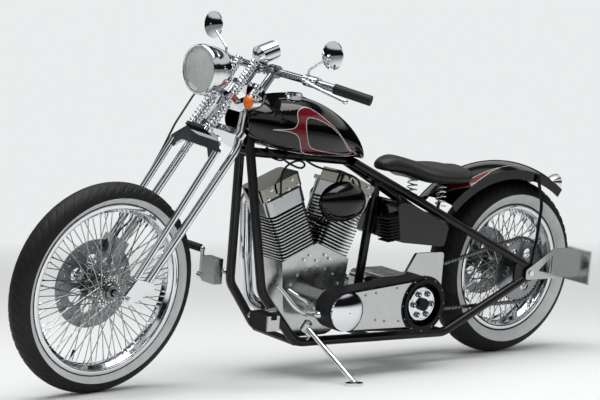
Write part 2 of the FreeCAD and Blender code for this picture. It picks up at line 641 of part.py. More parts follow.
def stay_point(x, side):
    """Point of an upper stay, or of the line midway between the two."""
    front, rear = s.spine_rear_x - s.frame_tube, s.wheelbase / 2 - s.stay_back
    share = (x - front) / (rear - front)
    half = s.stay_top_half + (s.stay_half - s.stay_top_half) * share
    return Vector(x, side * half, s.spine_rear_z + (s.upper_stay_z - s.spine_rear_z) * share)


def frame():
    neck_base, neck_top = axis_point(s.neck_low), axis_point(s.neck_low) + steer_axis * s.neck_length
    neck = rod("neck", neck_base, neck_top, "neck_radius")
    cups = [disc("cup_low", neck_base + steer_axis * (s.bearing_height / 2), "bearing_radius",
                 "bearing_height", steer_axis),
            disc("cup_top", neck_top - steer_axis * (s.bearing_height / 2), "bearing_radius",
                 "bearing_height", steer_axis)]
    spine_rear = Vector(s.spine_rear_x, 0, s.spine_rear_z)
    spine = rod("spine", Vector(-s.spine_front_x, 0, s.spine_front_z), spine_rear, "frame_tube")
    tubes = []
    for side in SIDES.values():
        tubes.append(frame_loop(side))
        tubes.append(rod(f"upper_stay_{side + 1}", stay_point(s.spine_rear_x - s.frame_tube, side),
                         stay_point(s.wheelbase / 2 - s.stay_back, side), "frame_tube"))
        tubes.append(plate(f"axle_plate_{side + 1}", [axle_plate_outline()], "axle_plate_wall",
                           side_view(side * s.stay_half)))
    for name, x, point in (("rail_cross_front", -s.rail_front_x, rail_point),
                           ("rail_cross_middle", s.seat_post_low_x, rail_point),
                           ("rail_cross_rear", s.rail_rear_x, rail_point),
                           ("post_cross", s.seat_post_top_x, stay_point),
                           ("fender_cross", s.fender_cross_x, stay_point),
                           ("spine_cross", -s.spine_front_x, down_point)):
        tubes.append(rod(name, point(x, -1), point(x, 1), "cross_tube"))
    post_foot, post_top = rail_point(s.seat_post_low_x, 0), stay_point(s.seat_post_top_x, 0)
    tubes.append(rod("seat_post", post_foot, post_top, "frame_tube"))
    fender_centre = Vector(s.fender_centre_x, 0, s.fender_centre_z)
    tab_foot = stay_point(s.fender_cross_x, 0)
    tab_angle = s.fender_front_angle - (s.fender_front_angle - s.fender_rear_angle) * s.fender_tab_share
    tab_way = Rotation(ACROSS, -tab_angle).multVec(ALONG)
    tab_head = fender_centre + tab_way * (s.fender_radius - s.fender_wall - s.fit_gap)
    tubes.append(tube("fender_tab", [tab_foot, tab_head - tab_way * s.frame_tube * 1.5, tab_head],
                      "strut_radius", s.frame_tube))
    whole = fused("frame_tubes", [neck, spine] + cups + tubes)
    bore = rod("neck_bore", neck_base - steer_axis * s.overrun, neck_top + steer_axis * s.overrun,
               "neck_bore")
    holes = disc("axle_holes", rear_axle, "rear_axle_radius + fit_gap", "rear_axle_length")
    keep("frame", cut("frame", whole, [bore, holes]), chassis)


def axle_plate_outline():
    """Plate between the stays that carries the rear axle."""
    x, z = s.wheelbase / 2, s.rear_tyre_radius
    ahead, back = s.axle_plate_long * 0.55, s.axle_plate_long * 0.38
    top, low, corner = s.axle_plate_tall * 0.5, s.axle_plate_tall * 0.42, s.axle_plate_corner
    return [(x - ahead, z + top, corner), (x + back * 0.4, z + top * 0.7, corner),
            (x + back, z, corner), (x + back * 0.4, z - low * 0.7, corner),
            (x - ahead, z - low, corner)]


# Engine

def beside_cylinder(lean, toward, across, along):
    """Point so far toward the V from a cylinder's line, across the machine, and out from the crank."""
    turn = Rotation(ACROSS, lean * s.cylinder_angle)
    return crank + turn.multVec(Vector(-lean * toward, across, along))


def tappet_block(lean):
    """Block on the cam cover that a cylinder's pushrod tubes stand on."""
    centre = beside_cylinder(lean, s.pushrod_low, s.pushrod_place,
                             (s.tappet_foot + s.tappet_top) / 2)
    return block(f"tappet_block_{lean + 1}", centre, "tappet_long", "tappet_wide",
                 "tappet_top - tappet_foot", Rotation(ACROSS, lean * s.cylinder_angle))


def pushrod_tubes(lug):
    """Tubes from the tappet blocks to the rocker covers, on the rider's right."""
    rods = []
    for lean in (-1, 1):
        for way in (-1, 1):
            foot = beside_cylinder(lean, s.pushrod_low + way * s.pushrod_low_half, s.pushrod_place,
                                   s.tappet_top + s.fit_gap * 4)
            head = beside_cylinder(lean, s.pushrod_high + way * s.pushrod_high_half,
                                   s.pushrod_place, lug - s.fit_gap * 3)
            rods.append(rod(f"pushrod_tube_{len(rods)}", foot, head, "pushrod_radius"))
    keep("pushrod_tubes", together("pushrod_tubes", rods), chassis)


def engine_case():
    angle = math.radians(s.cylinder_angle)
    out, flat = s.case_top, s.case_flat
    shoulder = (out * math.sin(angle) + flat * math.cos(angle),
                out * math.cos(angle) - flat * math.sin(angle))
    crest = out / math.cos(angle)
    r = s.case_radius
    outline = [(-s.crank_x - shoulder[0], s.crank_z + shoulder[1]), (-s.crank_x, s.crank_z + crest),
               (-s.crank_x + shoulder[0], s.crank_z + shoulder[1]),
               (-s.crank_x + r, s.crank_z, s.case_corner / 2),
               (-s.crank_x + r * 0.8, s.crank_z - r * 0.95, s.case_corner),
               (-s.crank_x - r * 0.8, s.crank_z - r * 0.95, s.case_corner),
               (-s.crank_x - r, s.crank_z, s.case_corner / 2)]
    body = plate("case_body", [outline], "case_half * 2", side_view(0))
    housing = rod("shaft_housing", crank - ACROSS * (s.motor_plate_place - s.motor_plate_wall / 2),
                  crank, "shaft_housing")
    cover = rod("cam_cover", crank, crank + ACROSS * (s.case_half + s.cam_cover_wall),
                "cam_cover_radius")
    blocks = [tappet_block(lean) for lean in (-1, 1)]
    keep("engine_case", fused("engine_case", [body, housing, cover] + blocks), chassis)


def rounded(width, depth, corner):
    """Rounded rectangle about the drawing's origin."""
    return [(-width / 2, -depth / 2, corner), (width / 2, -depth / 2, corner),
            (width / 2, depth / 2, corner), (-width / 2, depth / 2, corner)]


def cylinder(label, lean):
    """Finned barrel and head, built upright over the crank and leaned into the V."""
    base = s.case_top + s.fit_gap
    barrel = rod(label + "_barrel", UP * base, UP * (base + s.barrel_length), "barrel_radius")
    fins = []
    for number in range(int(s.fin_count)):
        height = base + s.fin_wall + number * s.fin_pitch
        fins.append(plate(f"{label}_fin_{number}", [rounded(s.fin_long, s.fin_wide, s.fin_corner)],
                          "fin_wall", Placement(UP * height, Rotation())))
    head_base = base + s.barrel_length
    head = plate(label + "_head", [rounded(s.head_long, s.head_wide, s.fin_corner)], "head_tall",
                 Placement(UP * (head_base + s.head_tall / 2), Rotation()))
    place = Placement(crank, Rotation(ACROSS, lean * s.cylinder_angle))
    keep(label, fused(label, [barrel, head] + fins), chassis.multiply(place))
    return head_base + s.head_tall


def rocker_covers(base):
    """Covers on the heads, each with a lug over its cylinder's pushrod tubes."""
    covers = []
    outer = s.pushrod_place + s.tappet_wide / 2
    for name, lean in (("front", -1), ("rear", 1)):
        cover = plate(f"rocker_cover_{name}", [rounded(s.rocker_long, s.rocker_wide, s.rocker_corner)],
                      "rocker_tall", Placement(UP * (base + s.fit_gap + s.rocker_tall / 2), Rotation()))
        lug = block(f"rocker_lug_{name}", Vector(-lean * s.pushrod_high, (s.lug_inner + outer) / 2,
                                                 base + s.fit_gap + s.lug_wall / 2),
                    "lug_long", "pushrod_place + tappet_wide / 2 - lug_inner", "lug_wall")
        whole = fused(f"rocker_{name}", [cover, lug])
        whole.recompute(True)
        whole.Placement = Placement(crank, Rotation(ACROSS, lean * s.cylinder_angle))
        covers.append(whole)
    keep("rocker_covers", together("rocker_covers", covers), chassis)


def gearbox():
    x, z = s.gearbox_x, s.gearbox_z
    half, tall, corner = s.gearbox_long / 2, s.gearbox_tall / 2, s.gearbox_corner
    outline = [(x - half, z - tall, corner), (x + half, z - tall, corner),
               (x + half, z + tall * 0.6, corner), (x + half * 0.5, z + tall, corner),
               (x - half, z + tall, corner)]
    body = plate("gearbox_body", [outline], "gearbox_half * 2", side_view(0))
    cover = rod("gearbox_cover", Vector(x, 0, z), Vector(x, s.gearbox_half + s.cam_cover_wall, z),
                "cam_cover_radius * 0.8")
    keep("gearbox", fused("gearbox", [body, cover]), chassis)


# Primary drive

def primary_drive():
    place, wall = s.motor_plate_place, s.motor_plate_wall
    nose = s.motor_plate_nose
    outline = [(-s.crank_x, s.crank_z + nose), (s.clutch_x * 0.9, s.clutch_z + nose * 1.2, nose / 2),
               (s.clutch_x + nose / 2, s.motor_plate_top, nose / 6),
               (s.motor_plate_rear, s.motor_plate_top, nose / 5),
               (s.motor_plate_rear, s.motor_plate_low, nose / 4), (-s.crank_x, s.crank_z - nose),
               ("by", -s.crank_x - nose, s.crank_z)]
    inner = plate("motor_plate", [outline], "motor_plate_wall", side_view(-place),
                  holes=[(-s.crank_x, s.crank_z, s.main_shaft + s.fit_gap),
                         (s.clutch_x, s.clutch_z, s.main_shaft + s.fit_gap)])
    keep("motor_plate", inner, chassis)
    hub = rod("front_pulley_drum", crank - ACROSS * (place + wall / 2 + s.fit_gap),
              crank - ACROSS * s.drum_face, "front_pulley_radius")
    cap = turned("front_pulley_cap", [[(0, 0), (s.cap_radius, 0), (s.cap_radius, s.cap_height / 4),
                                       *dome(s.cap_radius, s.cap_height / 4, s.cap_height * 0.75)]],
                 crank - ACROSS * s.drum_face, -ACROSS)
    keep("front_pulley", fused("front_pulley", [hub, cap]), chassis)
    clutch_belt = s.clutch_radius - s.belt_wall
    keep("primary_belt", plate("primary_belt", [
        loop_outline(crank, s.front_pulley_radius + s.belt_wall, clutch, clutch_belt + s.belt_wall),
        loop_outline(crank, s.front_pulley_radius + s.fit_gap, clutch, clutch_belt + s.fit_gap),
    ], "belt_width", side_view(-s.belt_place)), chassis)
    basket = rod("clutch_basket", clutch - ACROSS * (place + wall / 2 + s.fit_gap),
                 clutch - ACROSS * s.drum_face, "clutch_radius - belt_wall")
    recess = disc("clutch_recess", clutch - ACROSS * s.drum_face, "clutch_inner", "belt_width")
    ring = turned("clutch_ring", [[(s.clutch_inner, 0), (s.clutch_radius + s.belt_wall, 0),
                                   (s.clutch_radius + s.belt_wall, s.belt_wall),
                                   (s.clutch_inner, s.belt_wall)]],
                  clutch - ACROSS * (s.belt_place + s.belt_width / 2 + s.fit_gap), -ACROSS)
    pressure = rod("pressure_plate", clutch - ACROSS * (s.drum_face - s.belt_width / 2 - s.overrun),
                   clutch - ACROSS * (s.drum_face - s.pressure_wall), "pressure_radius")
    posts = []
    for number in range(6):
        out = Rotation(ACROSS, number * 60).multVec(ALONG) * (s.pressure_radius * 0.68)
        posts.append(rod(f"clutch_post_{number}",
                         clutch + out - ACROSS * (s.drum_face - s.belt_width / 2),
                         clutch + out - ACROSS * (s.drum_face - s.pressure_wall / 3), "clutch_post"))
    boss = rod("clutch_boss", clutch - ACROSS * (s.drum_face - s.belt_width / 2),
               clutch - ACROSS * s.drum_face, "main_shaft")
    shell = cut("clutch_shell", basket, [recess])
    keep("clutch", fused("clutch", [shell, ring, pressure, boss] + posts), chassis)
    guard_plate()


def guard_plate():
    """Support plate outside the belt, on posts that stand on the motor plate."""
    y = s.guard_place
    low = s.crank_z - s.front_pulley_radius
    outline = [(-s.crank_x, s.crank_z + s.front_pulley_radius),
               (s.clutch_x, s.clutch_z + s.clutch_radius * 0.93),
               (s.clutch_x, low - s.guard_post), (-s.crank_x, low)]
    sheet_metal = plate("guard_sheet", [outline], "guard_wall", side_view(-y))
    front = disc("guard_front_cut", crank - ACROSS * y, "cap_radius + overrun * 2", "belt_width")
    rear = disc("guard_rear_cut", clutch - ACROSS * y, "clutch_radius + belt_wall + overrun",
                "belt_width")
    flat = cut("guard_flat", sheet_metal, [front, rear])
    posts = []
    foot = s.motor_plate_place + s.motor_plate_wall / 2 + s.fit_gap
    for number, (x_share, z_share) in enumerate(((0.28, 0.42), (0.6, 0.5), (0.28, -0.45), (0.6, -0.5))):
        x = -s.crank_x + (s.clutch_x + s.crank_x) * x_share
        z = s.crank_z + s.front_pulley_radius * z_share
        posts.append(rod(f"guard_post_{number}", Vector(x, -foot, z), Vector(x, -y, z), "guard_post"))
    keep("belt_guard", fused("belt_guard", [flat] + posts), chassis)


# Intake, horn and exhaust

def intake():
    """Manifold between the cylinders, with the air cleaner on the rider's right."""
    centre = Vector(-s.crank_x, 0, s.intake_z)
    height = s.intake_z - s.crank_z
    reach = height * math.sin(math.radians(s.cylinder_angle)) - s.fin_long / 2 - s.fit_gap
    pieces = [rod("intake_stub", centre, centre + ACROSS * s.air_cleaner_place, "intake_radius"),
              disc("air_cleaner_shell", centre + ACROSS * s.air_cleaner_place,
                   "air_cleaner_radius", "air_cleaner_wall")]
    for lean in (-1, 1):
        toward = Rotation(ACROSS, lean * s.cylinder_angle).multVec(ALONG) * lean
        pieces.append(rod(f"intake_runner_{lean + 1}", centre, centre + toward * reach,
                          "intake_radius"))
    keep("air_cleaner", fused("air_cleaner", pieces), chassis)


def horn_cover():
    """Horn's bell, held on an arm that reaches in to the intake manifold."""
    centre = Vector(-s.horn_x, -s.horn_place, s.horn_z)
    bell = bind(doc.addObject("Part::Ellipsoid", "horn_dome"), Radius1="horn_tall",
                Radius2="horn_long", Radius3="horn_deep")
    bell.Placement = Placement(centre, Rotation())
    inner = block("horn_back", centre + ACROSS * s.horn_long, "horn_long * 4", "horn_long * 2",
                  "horn_long * 4")
    foot = Vector(-s.crank_x, -s.intake_radius - s.fit_gap, s.intake_z)
    corner = Vector(-s.crank_x, -s.horn_place + s.intake_radius, s.intake_z)
    arm = tube("horn_arm", [foot, corner, centre + Vector(-s.horn_long / 2, -s.overrun, -s.overrun)],
               "peg_arm", s.intake_radius)
    keep("horn_cover", fused("horn_cover", [cut("horn_shell", bell, [inner]), arm]), chassis)


def exhaust_pipes(head_base):
    half = s.head_wide / 2
    side = half + s.pipe_radius + s.overrun
    lean = math.radians(s.cylinder_angle)
    height = head_base - s.head_tall / 2
    def port(way):
        return crank + Vector(way * height * math.sin(lean), half + s.fit_gap, height * math.cos(lean))
    front = [port(-1), port(-1) + ACROSS * side,
             Vector(-s.crank_x - s.case_radius * 1.05, s.pipe_place * 0.86, s.crank_z + s.case_radius),
             Vector(-s.crank_x - s.case_radius * 0.7, s.pipe_place, s.front_pipe_z),
             Vector(s.pipe_end_x, s.pipe_place, s.front_pipe_z)]
    rear = [port(1), port(1) + ACROSS * side,
            Vector(s.gearbox_x - s.gearbox_long * 0.3, s.pipe_place, s.rear_pipe_z),
            Vector(s.pipe_end_x, s.pipe_place, s.rear_pipe_z)]
    pipes = [tube("front_pipe", front, "pipe_radius", s.pipe_bend),
             tube("rear_pipe", rear, "pipe_radius", s.pipe_bend)]
    keep("exhaust_pipes", together("exhaust_pipes", pipes), chassis)


# Tanks, seat and fender

TANK_SHARES = [
    # along, half width, base and top
    (0.0, 0.36, 0.46, 0.74), (0.06, 0.56, 0.30, 0.89), (0.2, 0.78, 0.15, 0.965),
    (0.36, 0.94, 0.06, 1.0), (0.52, 1.0, 0.02, 0.955), (0.66, 0.94, 0.0, 0.80),
    (0.8, 0.76, -0.02, 0.57), (0.92, 0.50, -0.06, 0.28), (1.0, 0.2, -0.1, 0.02)]
ROUND_SHARES = [(0.0, 1.0), (0.55, 0.93), (0.9, 0.66), (1.0, 0.34), (0.86, 0.06), (0.5, 0.0)]


def pod_wires(stations, shares):
    """Closed smooth outlines across the machine, one for each station along it."""
    wires = []
    for x, half, low, top in stations:
        ring = [(y, z) for y, z in shares] + [(0.0, 0.0)] + [(-y, z) for y, z in reversed(shares[1:])]
        points = [Vector(x, half * y, low + (top - low) * z) for y, z in ring]
        curve = Part.BSplineCurve()
        curve.interpolate(Points=points, PeriodicFlag=True)
        wires.append(Part.Wire(curve.toShape()))
    return wires


def fuel_tank():
    length = s.tank_rear + s.tank_front
    stations = [(-s.tank_front + length * along, s.tank_half * half,
                 s.tank_base + s.tank_height * low, s.tank_base + s.tank_height * top)
                for along, half, low, top in TANK_SHARES]
    shell = lofted("tank_shell", pod_wires(stations, ROUND_SHARES))
    reach = Vector(s.spine_rear_x + s.spine_front_x, 0, s.spine_rear_z - s.spine_front_z)
    start = Vector(-s.spine_front_x, 0, s.spine_front_z)
    tunnel = rod("tank_tunnel", start - reach * 0.1, start + reach * 1.2, "frame_tube + fit_gap")
    back = s.tank_slot_back
    slot = block("tank_slot", axis_point(s.neck_low) + steer_front * s.neck_length / 1.6
                 - steer_front * back / 2 + steer_axis * (s.neck_length / 2),
                 "neck_length * 1.25 + tank_slot_back", "tank_slot * 2", "neck_length * 3",
                 Rotation(ACROSS, s.rake_angle))
    notch_foot = axis_point(s.neck_low) + steer_axis * (s.neck_length - s.overrun)
    notch = block("tank_notch", notch_foot + steer_front * (s.neck_length / 2 - s.tank_notch)
                  + steer_axis * (s.neck_length / 2), "neck_length", "tank_half * 3",
                  "neck_length", Rotation(ACROSS, s.rake_angle))
    cap_seat = Vector(-s.tank_cap_x, -s.tank_cap_y, s.tank_base + s.tank_height - s.tank_cap_drop)
    pocket = rod("tank_cap_pocket", cap_seat, cap_seat + UP * s.tank_height,
                 "tank_cap_radius + fit_gap")
    keep("fuel_tank", cut("fuel_tank", shell, [tunnel, slot, pocket, notch]), chassis)
    cap = turned("tank_cap", [[(0, 0), (s.tank_cap_radius, 0),
                               (s.tank_cap_radius, s.tank_cap_height * 0.6),
                               (s.tank_cap_radius * 0.85, s.tank_cap_height), (0, s.tank_cap_height)]],
                 cap_seat + UP * s.fit_gap, UP)
    keep("tank_cap", cap, chassis)


def oil_tank():
    front, rear, low, top = s.oil_front, s.oil_rear, s.oil_low, s.oil_top
    corner = s.oil_corner
    outline = [(front, top, corner), (front + (rear - front) * 0.28, top - corner / 2, corner * 2),
               (rear, top - (top - low) * 0.55, corner), (rear - corner, low, corner),
               (front + corner * 1.5, low + corner * 1.5, corner)]
    body = plate("oil_tank_body", [outline], "oil_half * 2", side_view(0))
    slot = block("oil_slot", Vector(front, 0, (top + low) / 2), "oil_slot * 2", "oil_slot * 2",
                 "oil_top")
    pieces = [cut("oil_tank_shell", body, [slot])]
    slope = math.atan2(s.spine_rear_z - s.upper_stay_z, s.wheelbase / 2 - s.stay_back - s.spine_rear_x)
    rise = s.frame_tube / math.cos(slope) + s.strut_radius * math.tan(slope) + s.fit_gap
    for side in SIDES.values():
        head = stay_point(s.oil_lug_x, side) - UP * rise
        pieces.append(rod(f"oil_lug_{side + 1}", Vector(head.x, head.y, top - corner * 2), head,
                          "strut_radius"))
    keep("oil_tank", fused("oil_tank", pieces), chassis)


def regulator():
    """Finned regulator on the oil tank's sloping front."""
    top = Vector(s.oil_front, 0, s.oil_top)
    low = Vector(s.oil_front + s.oil_corner * 1.5, 0, s.oil_low + s.oil_corner * 1.5)
    facing = ACROSS.cross(low - top).normalize()
    seat_point = top + (low - top) * ((s.oil_top - s.regulator_z) / (top.z - low.z))
    seat_point = seat_point - ACROSS * s.regulator_place
    turn = Rotation(-ALONG, facing)
    core = block("regulator_core", seat_point + facing * (s.fit_gap + s.regulator_long / 2),
                 "regulator_long", "regulator_wide", "regulator_tall", turn)
    fins = []
    for number in range(int(s.regulator_fins)):
        level = (number - (s.regulator_fins - 1) / 2) * s.regulator_fin_pitch
        reach = s.regulator_fin_wall + s.regulator_fin_reach / 2
        fins.append(block(f"regulator_fin_{number}", seat_point + facing * reach
                          + turn.multVec(UP) * level, "regulator_fin_reach",
                          "regulator_fin_reach", "regulator_fin_wall", turn))
    keep("regulator", fused("regulator", [core] + fins), chassis)


SEAT_SHARES = [
    # along, half width, base and top
    (0.0, 0.16, 0.52, 0.84), (0.06, 0.30, 0.44, 0.97), (0.18, 0.44, 0.38, 1.0),
    (0.32, 0.68, 0.20, 0.86), (0.5, 0.94, 0.04, 0.68), (0.68, 1.0, 0.0, 0.62),
    (0.84, 0.90, 0.06, 0.62), (0.95, 0.66, 0.26, 0.53), (1.0, 0.34, 0.36, 0.44)]


def seat():
    length = s.seat_rear - s.seat_front
    stations = [(s.seat_front + length * along, s.seat_half * half,
                 s.seat_base + s.seat_height * low, s.seat_base + s.seat_height * top)
                for along, half, low, top in SEAT_SHARES]
    cushion = lofted("seat_cushion", pod_wires(stations, ROUND_SHARES))
    under = block("seat_under", Vector(s.seat_front + length / 2, 0, s.seat_base - s.seat_height),
                  "seat_rear", "seat_half * 4", "(seat_height + seat_pan) * 2")
    keep("seat", cut("seat", cushion, [under]), chassis)


def ribbed(name, start, end, radius, turns, core):
    """Coil spring, drawn as the sleeve that its turns fill."""
    length = (end - start).Length
    pitch = length / turns
    outline = [(core, 0)]
    for number in range(int(turns)):
        outline.append((radius - s.spring_groove, number * pitch))
        outline.append((radius, (number + 0.5) * pitch))
    outline += [(radius - s.spring_groove, length), (core, length)]
    return turned(name, [outline], start, end - start)


def seat_springs():
    springs = []
    low = stay_point(s.seat_spring_x - s.seat_spring_radius + s.spring_groove, 0).z + s.frame_tube * 1.13
    for side in SIDES.values():
        foot = Vector(s.seat_spring_x, side * s.seat_spring_y, low)
        top = Vector(s.seat_spring_x, side * s.seat_spring_y, s.seat_base + s.seat_pan - s.fit_gap)
        springs.append(ribbed(f"seat_spring_{side + 1}", foot, top, s.seat_spring_radius,
                              s.seat_spring_turns, s.spring_groove))
    keep("seat_springs", together("seat_springs", springs), chassis)


def rear_fender():
    r, half, wall = s.fender_radius, s.fender_half, s.fender_wall
    low, shoulder = r - s.fender_skirt, r - s.fender_crown
    outline = [(low, -half), (shoulder, -half), ("by", r, 0), (shoulder, half), (low, half),
               (low, half - wall), (shoulder - wall, half - wall), ("by", r - wall, 0),
               (shoulder - wall, wall - half), (low, wall - half)]
    centre = Vector(s.fender_centre_x, 0, s.fender_centre_z)
    keep("rear_fender", turned("rear_fender", [outline], centre,
                               angle=s.fender_front_angle - s.fender_rear_angle,
                               start=Rotation(ACROSS, -s.fender_front_angle)), chassis)


def fender_struts():
    struts = []
    for side in SIDES.values():
        y = side * (s.fender_half + s.strut_radius + s.fit_gap)
        out = side * (s.stay_half - s.axle_plate_wall / 2 - s.strut_radius - s.fit_gap)
        x, z, step = s.wheelbase / 2, s.rear_tyre_radius, s.lamp_radius
        head_x = x + step * 1.8
        arm = s.fender_radius - s.fender_skirt / 2
        head_z = s.fender_centre_z + math.sqrt(arm ** 2 - (head_x - s.fender_centre_x) ** 2)
        points = [Vector(head_x, y, head_z),
                  Vector(x + step * 2.2, (y + out) / 2, head_z - step * 3.4),
                  Vector(x + step * 1.2, out, z + s.axle_plate_tall),
                  Vector(x + step * 0.5, out, z)]
        struts.append(tube(f"strut_{side + 1}", points, "strut_radius", s.strut_bend))
    keep("fender_struts", together("fender_struts", struts), chassis)


def tail_light():
    """Bullet lamp and lens on the fender's tail."""
    angle = math.radians(s.fender_rear_angle)
    front = Vector(s.fender_centre_x + s.fender_radius * math.cos(angle) + s.fit_gap, 0,
                   s.fender_centre_z + s.fender_radius * math.sin(angle) - s.lamp_neck * 0.4)
    r, long = s.lamp_radius, s.lamp_long
    outline = [(0, 0), (s.lamp_neck, 0), ("by", r * 0.8, long * 0.5), (r, long), (0, long)]
    keep("tail_light", turned("tail_light", [outline], front, ALONG), chassis)
    lens = [(0, 0), (r, 0), *dome(r, 0, s.lens_depth)]
    keep("tail_lens", turned("tail_lens", [lens], front + ALONG * (long + s.fit_gap), ALONG), chassis)


def number_plate():
    y = -s.bracket_place
    x, z = s.wheelbase / 2, s.rear_tyre_radius
    rear, top, low = s.bracket_rear, s.bracket_top, s.bracket_low
    boss = s.axle_plate_corner
    span = rear - x
    outline = [(x - boss, z + boss / 2, boss / 2), (x + span * 0.62, top, boss / 3),
               (rear, top, boss / 3), (rear, low, boss / 3), (x - boss, z - boss, boss / 2)]
    window = [(x + span * 0.2, z + boss * 0.3, boss / 8), (x + span * 0.58, top - boss, boss / 8),
              (x + span * 0.58, z - boss / 4, boss / 8)]
    side_plate = plate("bracket_side", [outline, window], "bracket_wall", side_view(y),
                       holes=[(x, z, s.rear_axle_radius + s.fit_gap)])
    middle = Vector(rear + s.bracket_wall / 2, y - (s.plate_wide - s.bracket_wall) / 2,
                    (top + low) / 2)
    back = block("bracket_back", middle, "bracket_wall", "plate_wide", "plate_tall * 0.92")
    keep("plate_bracket", fused("plate_bracket", [side_plate, back]), chassis)
    step = (s.bracket_wall + s.plate_wall) / 2 + s.fit_gap
    blank = block("number_plate", middle + ALONG * step, "plate_wall", "plate_wide", "plate_tall")
    keep("number_plate", blank, chassis)


# Controls and stand

def ribbed_outline(x, z, length, height, ribs, groove):
    """Rectangle about a point, with even grooves along its upper and lower edges."""
    steps = int(ribs) * 2 - 1
    outline = []
    for way in (1, -1):
        for number in range(steps):
            level = height / 2 - groove * (number % 2)
            for end in (number, number + 1):
                outline.append((x + way * (length * end / steps - length / 2), z + way * level))
    return outline


def foot_pegs():
    """Square rubber block on the left and round ribbed rubber on the right."""
    x, z = -s.peg_x, s.peg_z
    middle = (s.peg_inner + s.peg_outer) / 2
    left = plate("left_peg", [ribbed_outline(x, z, s.peg_long, s.peg_tall, s.peg_ribs, s.peg_rib)],
                 "peg_outer - peg_inner", side_view(-middle), holes=[(x, z, s.peg_core + s.fit_gap)])
    line = Vector(-s.pedal_x, 0, s.pedal_z)
    right = ribbed("right_peg", line + ACROSS * (s.pedal_y + s.pedal_eye + s.fit_gap),
                   line + ACROSS * s.pedal_outer, s.pedal_radius, s.pedal_ribs,
                   s.peg_core + s.fit_gap)
    keep("foot_pegs", together("foot_pegs", [left, right]), chassis)


def left_foot_control():
    """Arm from the left down tube's lower run, the peg's core and the cap on its end."""
    x, z = -s.peg_x, s.peg_z
    low = Vector(-s.rail_front_x, s.rail_half, s.rail_front_z)
    high = Vector(-s.down_tube_low_x, s.cradle_half, s.down_tube_low_z)
    centre = high + (low - high) * ((high.z - z) / (high.z - low.z))
    out = Vector(high.y - low.y, low.x - high.x, 0).normalize()
    foot, elbow = (centre + out * reach for reach in (s.frame_tube + s.fit_gap, s.frame_tube * 2.7))
    inner = -s.peg_inner + s.fit_gap
    arm = tube("left_peg_arm", [
        Vector(foot.x, -foot.y, foot.z), Vector(elbow.x, -elbow.y, elbow.z),
        Vector(x, inner + s.peg_bend * 0.8, z), Vector(x, inner, z)], "peg_arm", s.peg_bend)
    core = rod("left_peg_core", Vector(x, inner + s.overrun, z),
               Vector(x, -s.peg_outer - s.peg_cap / 2, z), "peg_core")
    post = s.peg_long / 4
    edge, half = s.peg_long / 2, s.peg_tall / 2
    cap = plate("left_peg_cap", [[(x - edge, z - half), (x + edge, z - half), (x + edge, z + half),
                                  (x + edge - post, z + half), (x + edge - post, z + post),
                                  (x - edge + post, z + post), (x - edge + post, z + half),
                                  (x - edge, z + half)]],
                "peg_cap", side_view(-s.peg_outer - s.fit_gap - s.peg_cap / 2))
    keep("left_foot_control", fused("left_foot_control", [arm, core, cap]), chassis)


def down_tube_at(height, side):
    """Point of a down tube's upper run at a height."""
    share = (s.down_tube_top_z - height) / (s.down_tube_top_z - s.down_tube_low_z)
    return Vector(-s.down_tube_top_x + (s.down_tube_top_x - s.down_tube_low_x) * share,
                  side * (s.down_tube_top_y + (s.cradle_half - s.down_tube_top_y) * share), height)


def right_foot_control():
    """Brake cylinder on the right down tube, with its lever and the peg's core."""
    centre = Vector(-s.brake_unit_x, s.brake_unit_y, s.brake_unit_z)
    body = block("brake_unit", centre, "brake_unit_long", "brake_unit_wide", "brake_unit_tall")
    root = down_tube_at(s.brake_unit_z, 1)
    line = (down_tube_at(s.down_tube_top_z, 1) - root).normalize()
    way = centre - root
    way = (way - line * way.dot(line)).normalize()
    boss = rod("brake_unit_boss", root + way * (s.frame_tube + s.fit_gap),
               root + way * (s.brake_unit_y - root.y), "peg_arm")
    pivot = Vector(-s.pedal_x, s.pedal_y, s.pedal_pivot_z)
    corner = Vector(-s.pedal_x, s.pedal_y, s.pedal_z)
    reach = s.pedal_outer + s.fit_gap - s.pedal_y
    pieces = [body, boss, disc("pedal_eye", pivot, "pedal_eye", "pedal_eye_wide"),
              rod("pedal_lever", pivot, corner, "pedal_rod"),
              ball("pedal_corner", corner, "pedal_rod * 1.3"),
              rod("right_peg_core", corner, corner + ACROSS * (reach + s.overrun / 2), "peg_core"),
              disc("right_peg_cap", corner + ACROSS * (reach + s.overrun / 2),
                   "pedal_radius - spring_groove", "overrun")]
    keep("right_foot_control", fused("right_foot_control", pieces), chassis)


def side_stand():
    pivot, foot, hinge = stand_pivot, stand_foot, stand_hinge
    leg = rod("stand_leg", pivot, foot, "stand_rod")
    eye = disc("stand_eye", pivot, "stand_eye", "stand_eye_wide", hinge)
    pad = disc("stand_pad", foot - UP * (s.stand_pad_wall / 2), "stand_pad_radius", "stand_pad_wall", UP)
    heel = ball("stand_heel", foot, "stand_rod * 1.3")
    cap = block("stand_floor_cut", foot - UP * (s.stand_pad_wall + s.stand_pad_radius),
                "stand_pad_radius * 4", "stand_pad_radius * 4", "stand_pad_radius * 2")
    bolt_hole = disc("stand_bolt_hole", pivot, "stand_bolt + fit_gap", "stand_eye_wide * 2", hinge)
    leg_body = fused("stand_body", [leg, eye, pad, heel])
    keep("side_stand", cut("side_stand", leg_body, [cap, bolt_hole]), parked)


